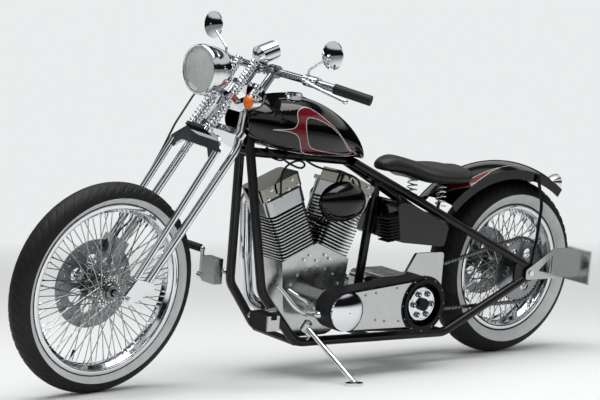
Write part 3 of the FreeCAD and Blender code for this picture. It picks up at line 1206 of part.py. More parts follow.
def stand_bracket():
    """Lug on the lower rail that holds the stand's bolt."""
    back = chassis.inverse()
    inner_pivot, line = back.multVec(stand_pivot), back.Rotation.multVec(stand_hinge)
    if line.y < 0:
        line = -line
    bolt = disc("stand_bolt", inner_pivot, "stand_bolt", "stand_eye_wide + stand_ear_wall * 4", line)
    ears = []
    for way in (-1, 1):
        centre = inner_pivot + line * (way * (s.stand_eye_wide / 2 + s.fit_gap + s.stand_ear_wall / 2))
        ears.append(disc(f"stand_ear_{way + 1}", centre, "stand_eye", "stand_ear_wall", line))
    radial = Vector(0, -1, 1).normalize()
    root = rail_point(s.frame_tube * 1.5 - s.stand_pivot_x, -1) + radial * (s.frame_tube + s.fit_gap)
    start = inner_pivot + line * (s.stand_eye_wide / 2 + s.fit_gap + s.stand_ear_wall)
    web = tube("stand_web", [start, root + radial * (s.stand_ear_wall * 2.5), root], "stand_ear_wall",
               s.stand_ear_wall * 3)
    keep("stand_bracket", fused("stand_bracket", [bolt, web] + ears), chassis)


def rear_brake():
    """Rear caliper behind the stay, its arm held by the axle."""
    y = s.rear_disc_place - s.disc_wall
    outward = Rotation(ACROSS, -115).multVec(ALONG)
    centre = rear_axle + ACROSS * y + outward * (s.rear_disc_radius * 0.92)
    body = block("rear_caliper_body", centre, "rear_disc_radius * 0.5", "disc_wall * 8",
                 "rear_disc_radius * 0.4", Rotation(ALONG, outward))
    slot = disc("rear_caliper_slot", rear_axle + ACROSS * y, "rear_disc_radius + overrun",
                "disc_wall + overrun")
    jaw = cut("rear_caliper_jaw", body, [slot])
    arm_y = (s.rear_disc_place + s.stay_half) / 2
    r, corner = s.pivot_radius, s.pivot_radius * 0.6
    outline = [(rear_axle.x - r * 1.5, rear_axle.z - r, corner),
               (rear_axle.x + r * 1.5, rear_axle.z - r, corner),
               (centre.x + r * 2.4, centre.z + s.overrun, corner),
               (centre.x - r * 1.2, centre.z + s.overrun, corner)]
    arm = plate("rear_caliper_arm", [outline], "bracket_wall", side_view(arm_y),
                holes=[(rear_axle.x, rear_axle.z, s.rear_axle_radius + s.fit_gap)])
    level = centre.z - s.overrun * 2
    lug = rod("rear_caliper_lug", Vector(centre.x, y + s.disc_wall * 3, level),
              Vector(centre.x, arm_y, level), "peg_arm")
    keep("rear_caliper", fused("rear_caliper", [jaw, arm, lug]), chassis)


def rear_axle_piece():
    keep("rear_axle", disc("rear_axle", rear_axle, "rear_axle_radius", "rear_axle_length"), chassis)


# Fork

def rigid_leg_at(height):
    """How far ahead of the steering axis, and to the side, a rigid leg is at a height of the neck."""
    last = None
    for x, half, z in ((-s.rigid_knee_x, s.leg_half, s.rigid_knee_z),
                       (-s.rigid_neck_x, s.rigid_neck_half, s.rigid_neck_z),
                       (-s.rigid_top_x, s.rigid_neck_half, s.rigid_top_z)):
        span = Vector(x, 0, z) - axis_point(s.neck_low)
        here = Vector(span.dot(steer_axis), span.dot(steer_front), half)
        if last and here.x >= height:
            share = (height - last.x) / (here.x - last.x)
            return last.y + (here.y - last.y) * share, last.z + (here.z - last.z) * share
        last = here
    return last.y, last.z


def rigid_fork():
    stem_low = axis_point(s.neck_low) - steer_axis * (s.crown_wall + s.fit_gap)
    stem_top = axis_point(s.neck_low) + steer_axis * (s.neck_length + s.yoke_wall + s.fit_gap * 2)
    stem = rod("stem", stem_low, stem_top, "stem_radius")
    pieces = [stem]
    for side in SIDES.values():
        foot = Vector(-s.rigid_pivot_x, side * s.leg_half, s.rigid_pivot_z)
        knee = Vector(-s.rigid_knee_x, side * s.leg_half, s.rigid_knee_z)
        shoulder = Vector(-s.rigid_neck_x, side * s.rigid_neck_half, s.rigid_neck_z)
        top = Vector(-s.rigid_top_x, side * s.rigid_neck_half, s.rigid_top_z)
        pieces.append(tube(f"rigid_leg_{side + 1}", [foot, knee, shoulder, top], "rigid_leg",
                           s.leg_half))
        pieces.append(disc(f"rigid_eye_{side + 1}", foot, "pivot_radius",
                           "(rocker_place - leg_half - fit_gap) * 2 - rocker_wall"))
    turn = Rotation(ACROSS, s.rake_angle)
    boss = s.stem_radius * 1.35
    for name, middle, wall, edge in (
            ("crown", -s.fit_gap - s.crown_wall / 2, "crown_wall", s.crown_edge),
            ("top_yoke", s.neck_length + s.fit_gap + s.yoke_wall / 2, "yoke_wall", s.yoke_edge)):
        reach, half = rigid_leg_at(middle)
        ends = [(-reach, half, s.rigid_leg + edge), (-reach, -half, s.rigid_leg + edge)]
        pieces.append(plate(name, [hull_outline([(0, 0, boss)] + ends)], wall,
                            Placement(axis_point(s.neck_low) + steer_axis * middle, turn)))
    perch_centre = axis_foot + steer_axis * s.perch_station
    near, far = s.spring_offset - s.lower_spring_radius * 3.2, s.spring_offset + s.lower_spring_radius
    wide, corner = s.rigid_neck_half + s.rigid_leg, s.rigid_leg
    perch_outline = [(-near, -wide, corner / 2), (-near, wide, corner / 2), (-far, wide, corner),
                     (-far, -wide, corner)]
    pieces.append(plate("perch", [perch_outline], "perch_wall", Placement(perch_centre, turn)))
    rods = []
    for side in SIDES.values():
        rods.append(disc(f"perch_hole_{side + 1}", spring_line(side, s.perch_station),
                         "spring_rod + fit_gap", "perch_wall * 2", steer_axis))
    keep("rigid_fork", cut("rigid_fork", fused("rigid_fork_body", pieces), rods), fork)


def spring_line(side, height):
    """Point on a fork spring's line at a distance along the steering axis."""
    ahead = steer_front * s.spring_offset + ACROSS * (side * s.spring_half)
    return axis_foot + steer_axis * height + ahead


def sprung_leg_point(side, height):
    """Point of a sprung leg's line at a height."""
    share = (height - s.sprung_pivot_z) / (s.sprung_top_z - s.sprung_pivot_z)
    x = -s.sprung_pivot_x + (s.sprung_pivot_x - s.sprung_top_x) * share
    return Vector(x, side * s.leg_half, height)


def bridge():
    """Plate that joins the sprung legs over the tyre, arched between them."""
    line = (sprung_leg_point(0, s.sprung_top_z) - sprung_leg_point(0, s.sprung_pivot_z)).normalize()
    tilt = math.degrees(math.atan2(line.x, line.z))
    face = Rotation(ACROSS, tilt).multiply(Rotation(UP, -90)).multiply(Rotation(ALONG, 90))
    half, top_half, tall, arch = s.bridge_half, s.bridge_top_half, s.bridge_tall, s.bridge_arch
    foot, round_in = s.leg_half - s.sprung_leg * 1.4, s.crown_corner / 2
    outline = [(-half, 0), (-half, tall * 0.4, s.crown_corner), (-top_half, tall, s.crown_corner),
               (top_half, tall, s.crown_corner), (half, tall * 0.4, s.crown_corner), (half, 0),
               (foot, 0), (arch, tall * 0.35, round_in), (-arch, tall * 0.35, round_in), (-foot, 0)]
    base = sprung_leg_point(0, s.sprung_top_z) - line * (s.bridge_tall * 0.3)
    return plate("bridge", [outline], "bridge_wall", Placement(base, face))


def spring_reach():
    """Lower and upper ends of the springs, along the steering axis."""
    half = s.perch_wall / 2 + s.fit_gap
    return (s.perch_station - half - s.lower_spring_long,
            s.perch_station + half + s.upper_spring_long)


def spring_seat(low):
    """Plate under the lower springs."""
    width, far = s.spring_half + s.lower_spring_radius, s.spring_offset + s.lower_spring_radius
    near = s.spring_offset - s.lower_spring_radius * 2
    outline = [(-far, -width, s.rigid_leg), (-far, width, s.rigid_leg),
               (-near, width, s.rigid_leg / 2), (-near, -width, s.rigid_leg / 2)]
    centre = axis_foot + steer_axis * (low - s.fit_gap - s.bridge_wall / 2)
    return plate("spring_seat", [outline], "bridge_wall",
                 Placement(centre, Rotation(ACROSS, s.rake_angle)))


def sprung_fork():
    """Front legs with their bridge, and the rods that carry the springs."""
    pieces = []
    for side in SIDES.values():
        foot, top = (sprung_leg_point(side, z) for z in (s.sprung_pivot_z, s.sprung_top_z))
        pieces.append(rod(f"sprung_leg_{side + 1}", foot, top, "sprung_leg"))
        pieces.append(disc(f"sprung_eye_{side + 1}", foot, "pivot_radius",
                           "(rocker_place - leg_half - fit_gap) * 2 - rocker_wall"))
    low, high = spring_reach()
    pieces += [bridge(), spring_seat(low)]
    cap = high + s.fit_gap + s.overrun
    for side in SIDES.values():
        pieces.append(rod(f"spring_rod_{side + 1}", spring_line(side, low - s.overrun),
                          spring_line(side, cap), "spring_rod"))
        pieces.append(disc(f"spring_cap_{side + 1}", spring_line(side, cap),
                           "upper_spring_radius", "overrun * 2", steer_axis))
    keep("sprung_fork", fused("sprung_fork", pieces), fork)


def fork_springs():
    """Two springs under the perch and two over it."""
    springs = []
    low, high = spring_reach()
    core = s.spring_rod + s.fit_gap
    for side in SIDES.values():
        springs.append(ribbed(f"lower_spring_{side + 1}", spring_line(side, low),
                              spring_line(side, low + s.lower_spring_long),
                              s.lower_spring_radius, s.lower_spring_turns, core))
        springs.append(ribbed(f"upper_spring_{side + 1}",
                              spring_line(side, high - s.upper_spring_long),
                              spring_line(side, high), s.upper_spring_radius,
                              s.upper_spring_turns, core))
    keep("fork_springs", together("fork_springs", springs), fork)


def fork_rockers():
    rockers = []
    for side in SIDES.values():
        y = side * s.rocker_place
        r = s.pivot_radius
        outline = hull_outline([(front_axle.x, front_axle.z, r * 1.2),
                                (-s.rigid_pivot_x, s.rigid_pivot_z, r),
                                (-s.sprung_pivot_x, s.sprung_pivot_z, r)])
        body = plate(f"rocker_{side + 1}", [outline], "rocker_wall", side_view(y),
                     holes=[(front_axle.x, front_axle.z, s.front_axle_radius + s.fit_gap)])
        rockers.append(body)
    keep("fork_rockers", together("fork_rockers", rockers), fork)
    keep("front_axle", disc("front_axle", front_axle, "front_axle_radius", "front_axle_length"), fork)


def front_caliper_place():
    """Middle of the front caliper, and the way from the axle to it."""
    outward = Rotation(ACROSS, -62).multVec(ALONG)
    y = s.front_disc_place - s.disc_wall
    return front_axle + ACROSS * y + outward * (s.front_disc_radius * 0.92), outward


def front_brake():
    """Front caliper on a lug from the right sprung leg."""
    y = s.front_disc_place - s.disc_wall
    centre, outward = front_caliper_place()
    body = block("front_caliper_body", centre, "front_disc_radius * 0.42", "disc_wall * 9",
                 "front_disc_radius * 0.5", Rotation(ALONG, outward))
    slot = disc("front_caliper_slot", front_axle + ACROSS * y, "front_disc_radius + overrun",
                "disc_wall + overrun")
    leg = sprung_leg_point(1, centre.z)
    lug = rod("front_caliper_lug", Vector(leg.x, y + s.disc_wall * 3, centre.z),
              leg - ACROSS * (s.sprung_leg + s.fit_gap), "peg_arm")
    keep("front_caliper", fused("front_caliper", [cut("front_caliper_jaw", body, [slot]), lug]), fork)


def lamp_bowl(radius, depth, rim):
    """Half section of a lamp's bowl behind its rim."""
    return [(0, 0), (radius, 0), (radius, radius * rim), (radius * 0.92, radius * (rim + 0.06)),
            ("by", radius * 0.74, depth * 0.72), (radius * 0.3, depth), (0, depth)]


def headlight():
    """Headlamp on a stalk from the spring perch."""
    centre = Vector(-s.headlight_x, 0, s.headlight_z)
    r = s.headlight_radius
    shell = turned("headlight_shell", [lamp_bowl(r, s.headlight_depth, 0.2)], centre, ALONG)
    seat = axis_foot + steer_axis * s.perch_station + steer_front * (
        s.spring_offset + s.lower_spring_radius + s.fit_gap)
    stalk = rod("headlight_stalk", seat, seat + steer_front * (r * 0.55), "perch_wall / 2")
    keep("headlight", fused("headlight", [shell, stalk]), fork)
    outline = [(0, 0), (r * 0.92, 0), *dome(r * 0.92, 0, s.headlight_lens)]
    keep("headlight_lens", turned("headlight_lens", [outline], centre - ALONG * s.fit_gap, -ALONG),
         fork)


def turn_signals():
    """Bullet signals on stalks from the rigid legs."""
    shells, lenses = [], []
    r, depth = s.signal_radius, s.signal_depth
    for side in SIDES.values():
        centre = Vector(-s.signal_x, side * s.signal_y, s.signal_z)
        shell = turned(f"signal_shell_{side + 1}", [lamp_bowl(r, depth, 0.3)], centre, ALONG)
        leg_y = side * (s.rigid_neck_half + s.rigid_leg + s.fit_gap)
        root = centre + ALONG * (depth * 0.84)
        stalk = rod(f"signal_stalk_{side + 1}", root, Vector(root.x, leg_y, root.z), "signal_stalk")
        shells.append(fused(f"signal_body_{side + 1}", [shell, stalk]))
        outline = [(0, 0), (r * 0.94, 0), *dome(r * 0.94, 0, r * 0.7)]
        lenses.append(turned(f"signal_lens_{side + 1}", [outline], centre - ALONG * s.fit_gap,
                             -ALONG))
    keep("turn_signals", together("turn_signals", shells), fork)
    keep("signal_lenses", together("signal_lenses", lenses), fork)


def bar_point(side, share):
    """Point of a handlebar end, from its bend at 0 to its tip at 1."""
    bend = Vector(-s.bar_x, side * s.bar_corner, s.bar_z)
    tip = Vector(-s.grip_outer_x, side * s.grip_outer_y, s.grip_outer_z)
    return bend + (tip - bend) * share


def handlebar():
    points = [bar_point(-1, 1.0), bar_point(-1, 0), bar_point(1, 0), bar_point(1, 1.0)]
    pieces = [tube("bar_tube", points, "bar_radius", s.bar_bend)]
    yoke_top = axis_point(s.neck_low) + steer_axis * (s.neck_length + s.yoke_wall + s.fit_gap * 2)
    reach = (Vector(-s.bar_x, 0, s.bar_z) - yoke_top).dot(steer_front)
    for side in SIDES.values():
        foot = yoke_top + steer_front * reach + ACROSS * (side * s.riser_half)
        pieces.append(rod(f"riser_{side + 1}", foot, Vector(-s.bar_x, side * s.riser_half, s.bar_z),
                          "riser_radius"))
        pieces.append(disc(f"bar_clamp_{side + 1}", Vector(-s.bar_x, side * s.riser_half, s.bar_z),
                           "bar_radius * 1.7", "riser_radius * 2.4"))
    keep("handlebar", fused("handlebar", pieces), fork)
    grips = []
    for side in SIDES.values():
        tip = bar_point(side, 1.0)
        line = (tip - bar_point(side, 0)).normalize()
        foot = tip - line * s.grip_long
        sleeve = rod(f"grip_sleeve_{side + 1}", foot, tip + line * s.overrun, "grip_radius")
        bore = rod(f"grip_bore_{side + 1}", foot - line * s.overrun, tip + line * s.fit_gap,
                   "bar_radius + fit_gap")
        grips.append(cut(f"grip_{side + 1}", sleeve, [bore]))
    keep("grips", together("grips", grips), fork)


def levers():
    """Clutch and brake levers on clamps inboard of the grips."""
    controls = []
    for side in SIDES.values():
        middle = Vector(-s.bar_x, side * s.control_place, s.bar_z)
        clamp = disc(f"lever_clamp_{side + 1}", middle, "bar_radius * 1.5", "control_long")
        hole = disc(f"lever_hole_{side + 1}", middle, "bar_radius + fit_gap", "control_long * 2")
        pivot = middle - ALONG * s.lever_drop
        root = rod(f"lever_root_{side + 1}", middle + Vector(-s.bar_radius * 1.2, 0, 0), pivot,
                   "lever_radius * 1.6")
        tip = bar_point(side, 0.8) + Vector(-s.lever_reach, 0, -s.bar_radius)
        bow = pivot + (tip - pivot) * 0.4 - ALONG * s.lever_radius
        blade = tube(f"lever_blade_{side + 1}", [pivot - ACROSS * (side * s.lever_radius), bow, tip],
                     "lever_radius", s.bar_bend)
        controls.append(fused(f"lever_{side + 1}", [
            cut(f"lever_ring_{side + 1}", clamp, [hole]), root, blade,
            ball(f"lever_knob_{side + 1}", tip, "lever_ball")]))
    keep("levers", together("levers", controls), fork)


def beside_leg(height, across, back=0.0):
    """Point beside the right sprung leg at a height, across the machine and behind the leg's line."""
    leg = sprung_leg_point(1, height)
    return Vector(leg.x + back, across, height)


def front_brake_hose():
    """Hose from the right lever's clamp, down outside the fork and in to the caliper."""
    clamp = Vector(-s.bar_x, s.control_place - s.control_long * 0.3, s.bar_z)
    slant = Vector(-math.sin(rake), 0, -math.cos(rake))
    start = clamp + slant * (s.bar_radius * 1.5 + s.fit_gap)
    centre, outward = front_caliper_place()
    end = centre + outward * (s.front_disc_radius * 0.21 + s.fit_gap) + ACROSS * (s.disc_wall * 1.8)
    high, side, step = s.sprung_top_z, s.hose_place, s.hose_bend * 0.4
    points = [start, start + slant * step * 1.5, beside_leg(high * 1.15, side * 1.45, step * 1.5),
              beside_leg(high * 1.05, side * 1.12), beside_leg(high * 0.95, side),
              beside_leg(high * 0.76, side, step * 0.6), beside_leg(high * 0.705, side * 0.86, step),
              end + outward * step * 2 + ALONG * step + ACROSS * s.hose_radius,
              end + outward * step, end]
    keep("front_brake_hose", tube("front_brake_hose", points, "hose_radius", s.hose_bend), fork)


def bar_clamp(name, across, wide):
    """Ring round the handlebar's middle run."""
    centre = Vector(-s.bar_x, across, s.bar_z)
    ring = disc(name + "_clamp", centre, "bar_radius * 1.5", wide)
    hole = disc(name + "_hole", centre, "bar_radius + fit_gap", wide + " * 2")
    return cut(name + "_ring", ring, [hole])


def mirrors():
    """Round mirrors on bent stems from the bar."""
    pair = []
    for side in SIDES.values():
        name = f"mirror_{side + 1}"
        head = Vector(-s.mirror_x, side * s.mirror_y, s.mirror_z)
        rim = s.mirror_wall * 0.3
        outline = [(0, 0), (s.mirror_radius, 0), (s.mirror_radius, rim),
                   *dome(s.mirror_radius, rim, s.mirror_wall - rim)]
        shell = turned(name + "_head", [outline], head, -ALONG)
        foot = Vector(-s.bar_x, side * s.mirror_base_y, s.bar_z + s.bar_radius * 1.4 - s.overrun)
        stem = tube(name + "_stem", [foot, foot + UP * (s.bar_radius * 1.6),
                                     head - ALONG * (s.mirror_wall * 0.5)],
                    "mirror_stem", s.bar_radius)
        ring = bar_clamp(name, side * s.mirror_base_y, "mirror_wall")
        pair.append(fused(name, [shell, stem, ring]))
    keep("mirrors", together("mirrors", pair), fork)


def speedometer():
    """Can-shaped meter over the middle of the bar."""
    centre = Vector(-s.speedo_x, 0, s.speedo_z)
    line = Rotation(ACROSS, -s.speedo_tilt).multVec(ALONG)
    r, long = s.speedo_radius, s.speedo_long
    can = turned("speedo_can", [[(0, 0), (r * 0.6, 0), (r, r * 0.4), (r, long), (0, long)]],
                 centre - line * (long / 2), line)
    foot = Vector(-s.bar_x, 0, s.bar_z + s.bar_radius * 1.25)
    stalk = rod("speedo_stalk", foot, centre, "lever_radius")
    ring = bar_clamp("speedo", 0, "mirror_wall")
    keep("speedometer", fused("speedometer", [can, stalk, ring]), fork)


front_wheel()
rear_wheel()
final_drive()
frame()
engine_case()
head_top = cylinder("front_cylinder", -1)
cylinder("rear_cylinder", 1)
rocker_covers(head_top)
pushrod_tubes(head_top)
gearbox()
primary_drive()
intake()
horn_cover()
exhaust_pipes(head_top)
fuel_tank()
oil_tank()
regulator()
seat()
seat_springs()
rear_fender()
fender_struts()
tail_light()
number_plate()
left_foot_control()
right_foot_control()
foot_pegs()
side_stand()
stand_bracket()
rear_brake()
rear_axle_piece()
rigid_fork()
sprung_fork()
fork_springs()
fork_rockers()
front_brake()
headlight()
turn_signals()
handlebar()
levers()
front_brake_hose()
mirrors()
speedometer()

doc.recompute()
for item in doc.Objects:
    if {"Invalid", "Error"} & set(item.State):
        raise RuntimeError(f"{item.Name} failed: {item.State}")
broken = [label for label, piece in nodes.items()
          if piece.Shape.isNull() or not piece.Shape.isValid()]
if broken:
    raise RuntimeError(f"no valid shape: {broken}")
os.makedirs("parts", exist_ok=True)
for label, piece in nodes.items():
    piece.Shape.exportStep(f"parts/{label}.step")
print(len(nodes), "nodes")
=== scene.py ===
# %% [markdown]
# A raked chopper stands on its side stand in a pale studio. The solid machine comes packed from
# the workshop drawing, in metres, and this lesson gives it its finishes and the fine pieces that a
# drawing leaves out: tread, whitewalls, coil springs, chain links, leather and bolts.
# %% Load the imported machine
import math
import bpy
import bmesh
from mathutils import Matrix, Vector


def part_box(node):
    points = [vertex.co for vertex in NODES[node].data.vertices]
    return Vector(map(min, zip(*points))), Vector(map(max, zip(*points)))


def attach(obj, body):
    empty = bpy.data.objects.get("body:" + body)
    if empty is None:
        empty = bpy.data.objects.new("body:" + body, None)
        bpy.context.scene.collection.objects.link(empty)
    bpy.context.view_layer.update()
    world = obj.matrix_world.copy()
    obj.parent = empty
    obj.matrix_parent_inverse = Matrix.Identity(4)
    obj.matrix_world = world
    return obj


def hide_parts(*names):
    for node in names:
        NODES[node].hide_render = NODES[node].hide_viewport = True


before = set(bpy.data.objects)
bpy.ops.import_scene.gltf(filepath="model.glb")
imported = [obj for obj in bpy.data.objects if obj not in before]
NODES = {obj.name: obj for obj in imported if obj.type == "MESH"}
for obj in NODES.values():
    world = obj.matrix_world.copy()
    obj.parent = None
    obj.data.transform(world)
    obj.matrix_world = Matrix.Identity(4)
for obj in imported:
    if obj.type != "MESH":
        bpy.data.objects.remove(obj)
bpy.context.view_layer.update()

print(len(NODES), "pieces carried over")

# %% [markdown]
# The machine leans to its left, and its bars are turned to the left a little. Every small piece is
# easier to place on the upright machine, so two matrices take a point of the upright machine to the
# parked one: one for what the frame carries, one for what the fork carries.
# %% Lean and steering
MM = 0.001
WHEELBASE = 1744 * MM
LEAN = math.radians(7.6)
NOSE_DROP = math.radians(0.0752)
STEER = math.radians(7.7)
RAKE = math.radians(37.6)
TRAIL = 146 * MM
SIDE_SHIFT = 136.224 * MM
RISE = 0.7255 * MM
STEER_LINE = Vector((math.sin(RAKE), 0, math.cos(RAKE)))
AXIS_FOOT = Vector((-WHEELBASE / 2 - TRAIL, 0, 0))
REAR_FOOT = Vector((WHEELBASE / 2, 0, 0))


def turn_about(point, angle, line):
    """Rotation about a line through a point."""
    there = Matrix.Translation(point)
    return there @ Matrix.Rotation(angle, 4, line) @ there.inverted()


CHASSIS = (Matrix.Translation((0, SIDE_SHIFT, RISE)) @ turn_about(REAR_FOOT, -NOSE_DROP, Vector((0, 1, 0)))
           @ Matrix.Rotation(LEAN, 4, Vector((1, 0, 0))))
FORK = CHASSIS @ turn_about(AXIS_FOOT, STEER, STEER_LINE)
FRONT_AXLE = Vector((-WHEELBASE / 2, 0, 345 * MM))
REAR_AXLE = Vector((WHEELBASE / 2, 0, 332 * MM))
axle_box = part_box("rear_axle")
print("rear axle is off by", ((axle_box[0] + axle_box[1]) / 2 - CHASSIS @ REAR_AXLE).length)

# %% [markdown]
# The camera stands where the photographer stood: ahead of the machine on its left, at tank height,
# looking level through a long lens.
# %% Camera
CAMERA_PLACE = Vector((-3.654, -4.594, 0.831))
CAMERA_AIM = Vector((-0.044, 0.136, 0.595))
FOCAL_LENGTH, SENSOR_WIDTH, FAR_END = 102.8, 36.0, 200.0


def placed(name, data):
    """A new object in the scene."""
    item = bpy.data.objects.new(name, data)
    bpy.context.scene.collection.objects.link(item)
    return item


def pointed(item, place, aim):
    """A camera or a lamp at a place, looking at another."""
    item.location = place
    item.rotation_euler = (Vector(aim) - Vector(place)).to_track_quat("-Z", "Y").to_euler()


camera_data = bpy.data.cameras.new("photo_camera")
camera_data.lens, camera_data.sensor_width, camera_data.clip_end = FOCAL_LENGTH, SENSOR_WIDTH, FAR_END
camera = placed("photo_camera", camera_data)
pointed(camera, CAMERA_PLACE, CAMERA_AIM)
bpy.context.scene.camera = camera
bpy.context.scene.view_settings.view_transform = "Standard"
print("the camera stands", round((CAMERA_AIM - CAMERA_PLACE).length, 2), "m away")

# %% [markdown]
# Colours are written the way a paint chart gives them, as hex values, and the shader wants linear
# light. One function adds a node with its settings and what its inputs are given, so a finish
# reads as a short list.
# %% Colour and node helpers
NOISE, RANGE, BUMP = "ShaderNodeTexNoise", "ShaderNodeMapRange", "ShaderNodeBump"
MIX, BLEND_COLOURS = "ShaderNodeMix", {"data_type": "RGBA"}
MATH, VECTOR_MATH = "ShaderNodeMath", "ShaderNodeVectorMath"


def colour(text):
    """Linear colour of an sRGB hex value."""
    parts = [int(text[i:i + 2], 16) / 255 for i in (1, 3, 5)]
    return (*[c / 12.92 if c <= 0.04045 else ((c + 0.055) / 1.055) ** 2.4 for c in parts], 1.0)


def fill(node, **inputs):
    """A node whose inputs, by name or number, get numbers, hex colours, sockets or whole nodes."""
    for name, value in inputs.items():
        socket = node.inputs[int(name[1:]) if name[0] == "_" else name.replace("_", " ")]
        if isinstance(value, bpy.types.Node):
            value = next(out for out in value.outputs if out.enabled)
        if isinstance(value, bpy.types.NodeSocket):
            node.id_data.links.new(value, socket)
        else:
            socket.default_value = colour(value) if str(value)[0] == "#" else value
    return node


def add(tree, kind, settings=None, **inputs):
    """A new node with its settings and with what its inputs are given."""
    node = tree.nodes.new(kind)
    for name, value in (settings or {}).items():
        setattr(node, name, value)
    return fill(node, **inputs)


def finish(name, base, **values):
    """A new material: its tree, its shader and the point on the piece that patterns read."""
    material = bpy.data.materials.new(name)
    material.use_nodes = True
    tree = material.node_tree
    shader = fill(tree.nodes["Principled BSDF"], Base_Color=base, **values)
    return material, tree, shader, add(tree, "ShaderNodeTexCoord").outputs["Object"]


print("a middle grey is", round(colour("#808080")[0], 3), "in linear light")

# %% [markdown]
# Chrome is bright because its plating mirrors everything, so what it shows is the room. Handling
# leaves the faintest haze, which only the roughness carries. Polished aluminium, spoke wire and
# turned hubs are greyer and softer, and knurled bars darker. Castings, ground discs, anodised alloy
# and oiled chain have a grain that scatters the light.
# %% Bright metals


def plated(name, base, low, high, patch):
    """Polished metal with a haze that comes and goes over patches of a size."""
    material, tree, shader, point = finish(name, base, Metallic=1.0)
    cloud = add(tree, NOISE, Vector=point, Scale=1 / patch, Detail=3.0)
    haze = add(tree, RANGE, Value=cloud, From_Min=0.3, From_Max=0.7, To_Min=low, To_Max=high)
    fill(shader, Roughness=haze)
    return material


def cast(name, base, roughness, grain, depth, dark):
    """Sand-cast metal: a grain in the surface and darker pits."""
    material, tree, shader, point = finish(name, base, Roughness=roughness, Metallic=1.0)
    grit = add(tree, NOISE, Vector=point, Scale=1 / grain, Detail=4.0, Roughness=0.6)
    pits = add(tree, RANGE, Value=grit, From_Min=0.35, From_Max=0.65)
    fill(shader, Base_Color=add(tree, MIX, BLEND_COLOURS, _0=pits, _6=dark, _7=base),
         Normal=add(tree, BUMP, Height=grit, Distance=depth))
    return material


CHROME = plated("chrome_plate", "#dfe1e4", 0.03, 0.10, 60 * MM)
# The rocker covers' darker, olive-tinted base colour is a painted reflection: it stands in for the dark olive
# that the covers mirror.
DARK_REFLECTION_CHROME = plated("rocker_cover_chrome", "#8d8c82", 0.04, 0.12, 50 * MM)
POLISHED = plated("polished_aluminium", "#b9bbb9", 0.12, 0.26, 30 * MM)
SPOKE_STEEL = plated("stainless_spoke_wire", "#a3a6a5", 0.12, 0.24, 20 * MM)
HUB_METAL = plated("turned_hub_alloy", "#7d7f7b", 0.16, 0.3, 15 * MM)
BAR_CHROME = plated("knurled_bar_chrome", "#8f9193", 0.06, 0.16, 20 * MM)
SATIN = cast("satin_aluminium", "#aeb0b2", 0.30, 1.2 * MM, 0.06 * MM, "#8d8f92")
STEEL = cast("ground_steel", "#9a9da0", 0.28, 0.8 * MM, 0.03 * MM, "#7c7f83")
BLACK_ALLOY = cast("black_anodised_aluminium", "#2a2b2e", 0.35, 1.0 * MM, 0.04 * MM, "#1b1c1e")
CHAIN_STEEL = cast("oiled_chain_steel", "#6e7073", 0.36, 1.5 * MM, 0.05 * MM, "#3d3e40")
print("bright metals ready, such as", CHROME.name)

# %% [markdown]
# The frame is powder coated, which dries with a fine orange peel, drawn coarse enough to show. The
# tank and fender are lacquered: colour under a clear coat that mirrors sharply over a deep black.
# %% Black paints
ORANGE_PEEL = 3.5 * MM


def lacquer(name, base, peel_depth, rough=0.08, coat=0.55):
    """Gloss paint under a clear coat with a little orange peel."""
    material, tree, shader, point = finish(name, base, Roughness=rough, Specular_IOR_Level=0.25,
                                           Coat_Weight=coat, Coat_Roughness=0.03)
    peel = add(tree, NOISE, Vector=point, Scale=1 / ORANGE_PEEL, Detail=2.0)
    fill(shader, Normal=add(tree, BUMP, Height=peel, Distance=peel_depth))
    return material


FRAME_BLACK = lacquer("powder_coat_black", "#050506", 0.05 * MM, 0.3, 0.25)
COVER_BLACK = lacquer("gloss_black_cover", "#050506", 0.01 * MM, 0.1, 0.4)
TANK_BLACK = lacquer("tank_lacquer", "#040405", 0.004 * MM)
FENDER_BLACK = lacquer("fender_lacquer", "#040405", 0.004 * MM, 0.1, 0.4)
PLATE_PAINT = lacquer("plate_enamel", "#cfd0cf", 0.01 * MM, 0.35)
print("paints ready, such as", TANK_BLACK.name)

# %% [markdown]
# Rubber is never quite black and hardly shines. Its colour drifts with wear and dust, and its skin
# has a fine grain. The seat's hide has pores about a millimetre apart, drawn twice as far apart so
# that they show. Lamp lenses are moulded with flutes, which bend the light into stripes.
# %% Rubber, leather and lamps
DUST_PATCH, PORE = 45 * MM, 2.2 * MM


def rubber(name, base, dusty, roughness, grain):
    """Matt rubber with dust in patches and a fine grain."""
    material, tree, shader, point = finish(name, base, Roughness=roughness, Specular_IOR_Level=0.3)
    cloud = add(tree, NOISE, Vector=point, Scale=1 / DUST_PATCH, Detail=3.0)
    dust = add(tree, RANGE, Value=cloud, From_Min=0.3, From_Max=0.7)
    skin = add(tree, NOISE, Vector=point, Scale=1 / grain, Detail=2.0)
    fill(shader, Base_Color=add(tree, MIX, BLEND_COLOURS, _0=dust, _6=base, _7=dusty),
         Normal=add(tree, BUMP, Height=skin, Distance=0.05 * MM))
    return material


def leather(name, base):
    """Hide: pores as small cells, with a soft sheen where it is worn."""
    material, tree, shader, point = finish(name, base, Specular_IOR_Level=0.4)
    worn = add(tree, NOISE, Vector=point, Scale=1 / (50 * MM), Detail=3.0)
    cells = add(tree, "ShaderNodeTexVoronoi", {"feature": "DISTANCE_TO_EDGE"}, Vector=point, Scale=1 / PORE)
    pores = add(tree, RANGE, Value=cells, From_Max=0.25)
    fill(shader, Roughness=add(tree, RANGE, Value=worn, To_Min=0.34, To_Max=0.5),
         Normal=add(tree, BUMP, Height=pores, Distance=0.12 * MM))
    return material


def lens(name, base, roughness, transmission):
    """Moulded lens plastic that light goes into."""
    material, tree, shader, point = finish(name, base, Roughness=roughness, Coat_Weight=0.4,
                                           Transmission_Weight=transmission)
    flutes = add(tree, "ShaderNodeTexWave", {"bands_direction": "Y"}, Vector=point, Scale=60.0)
    fill(shader, Normal=add(tree, BUMP, Height=flutes.outputs["Fac"], Distance=0.4 * MM))
    return material


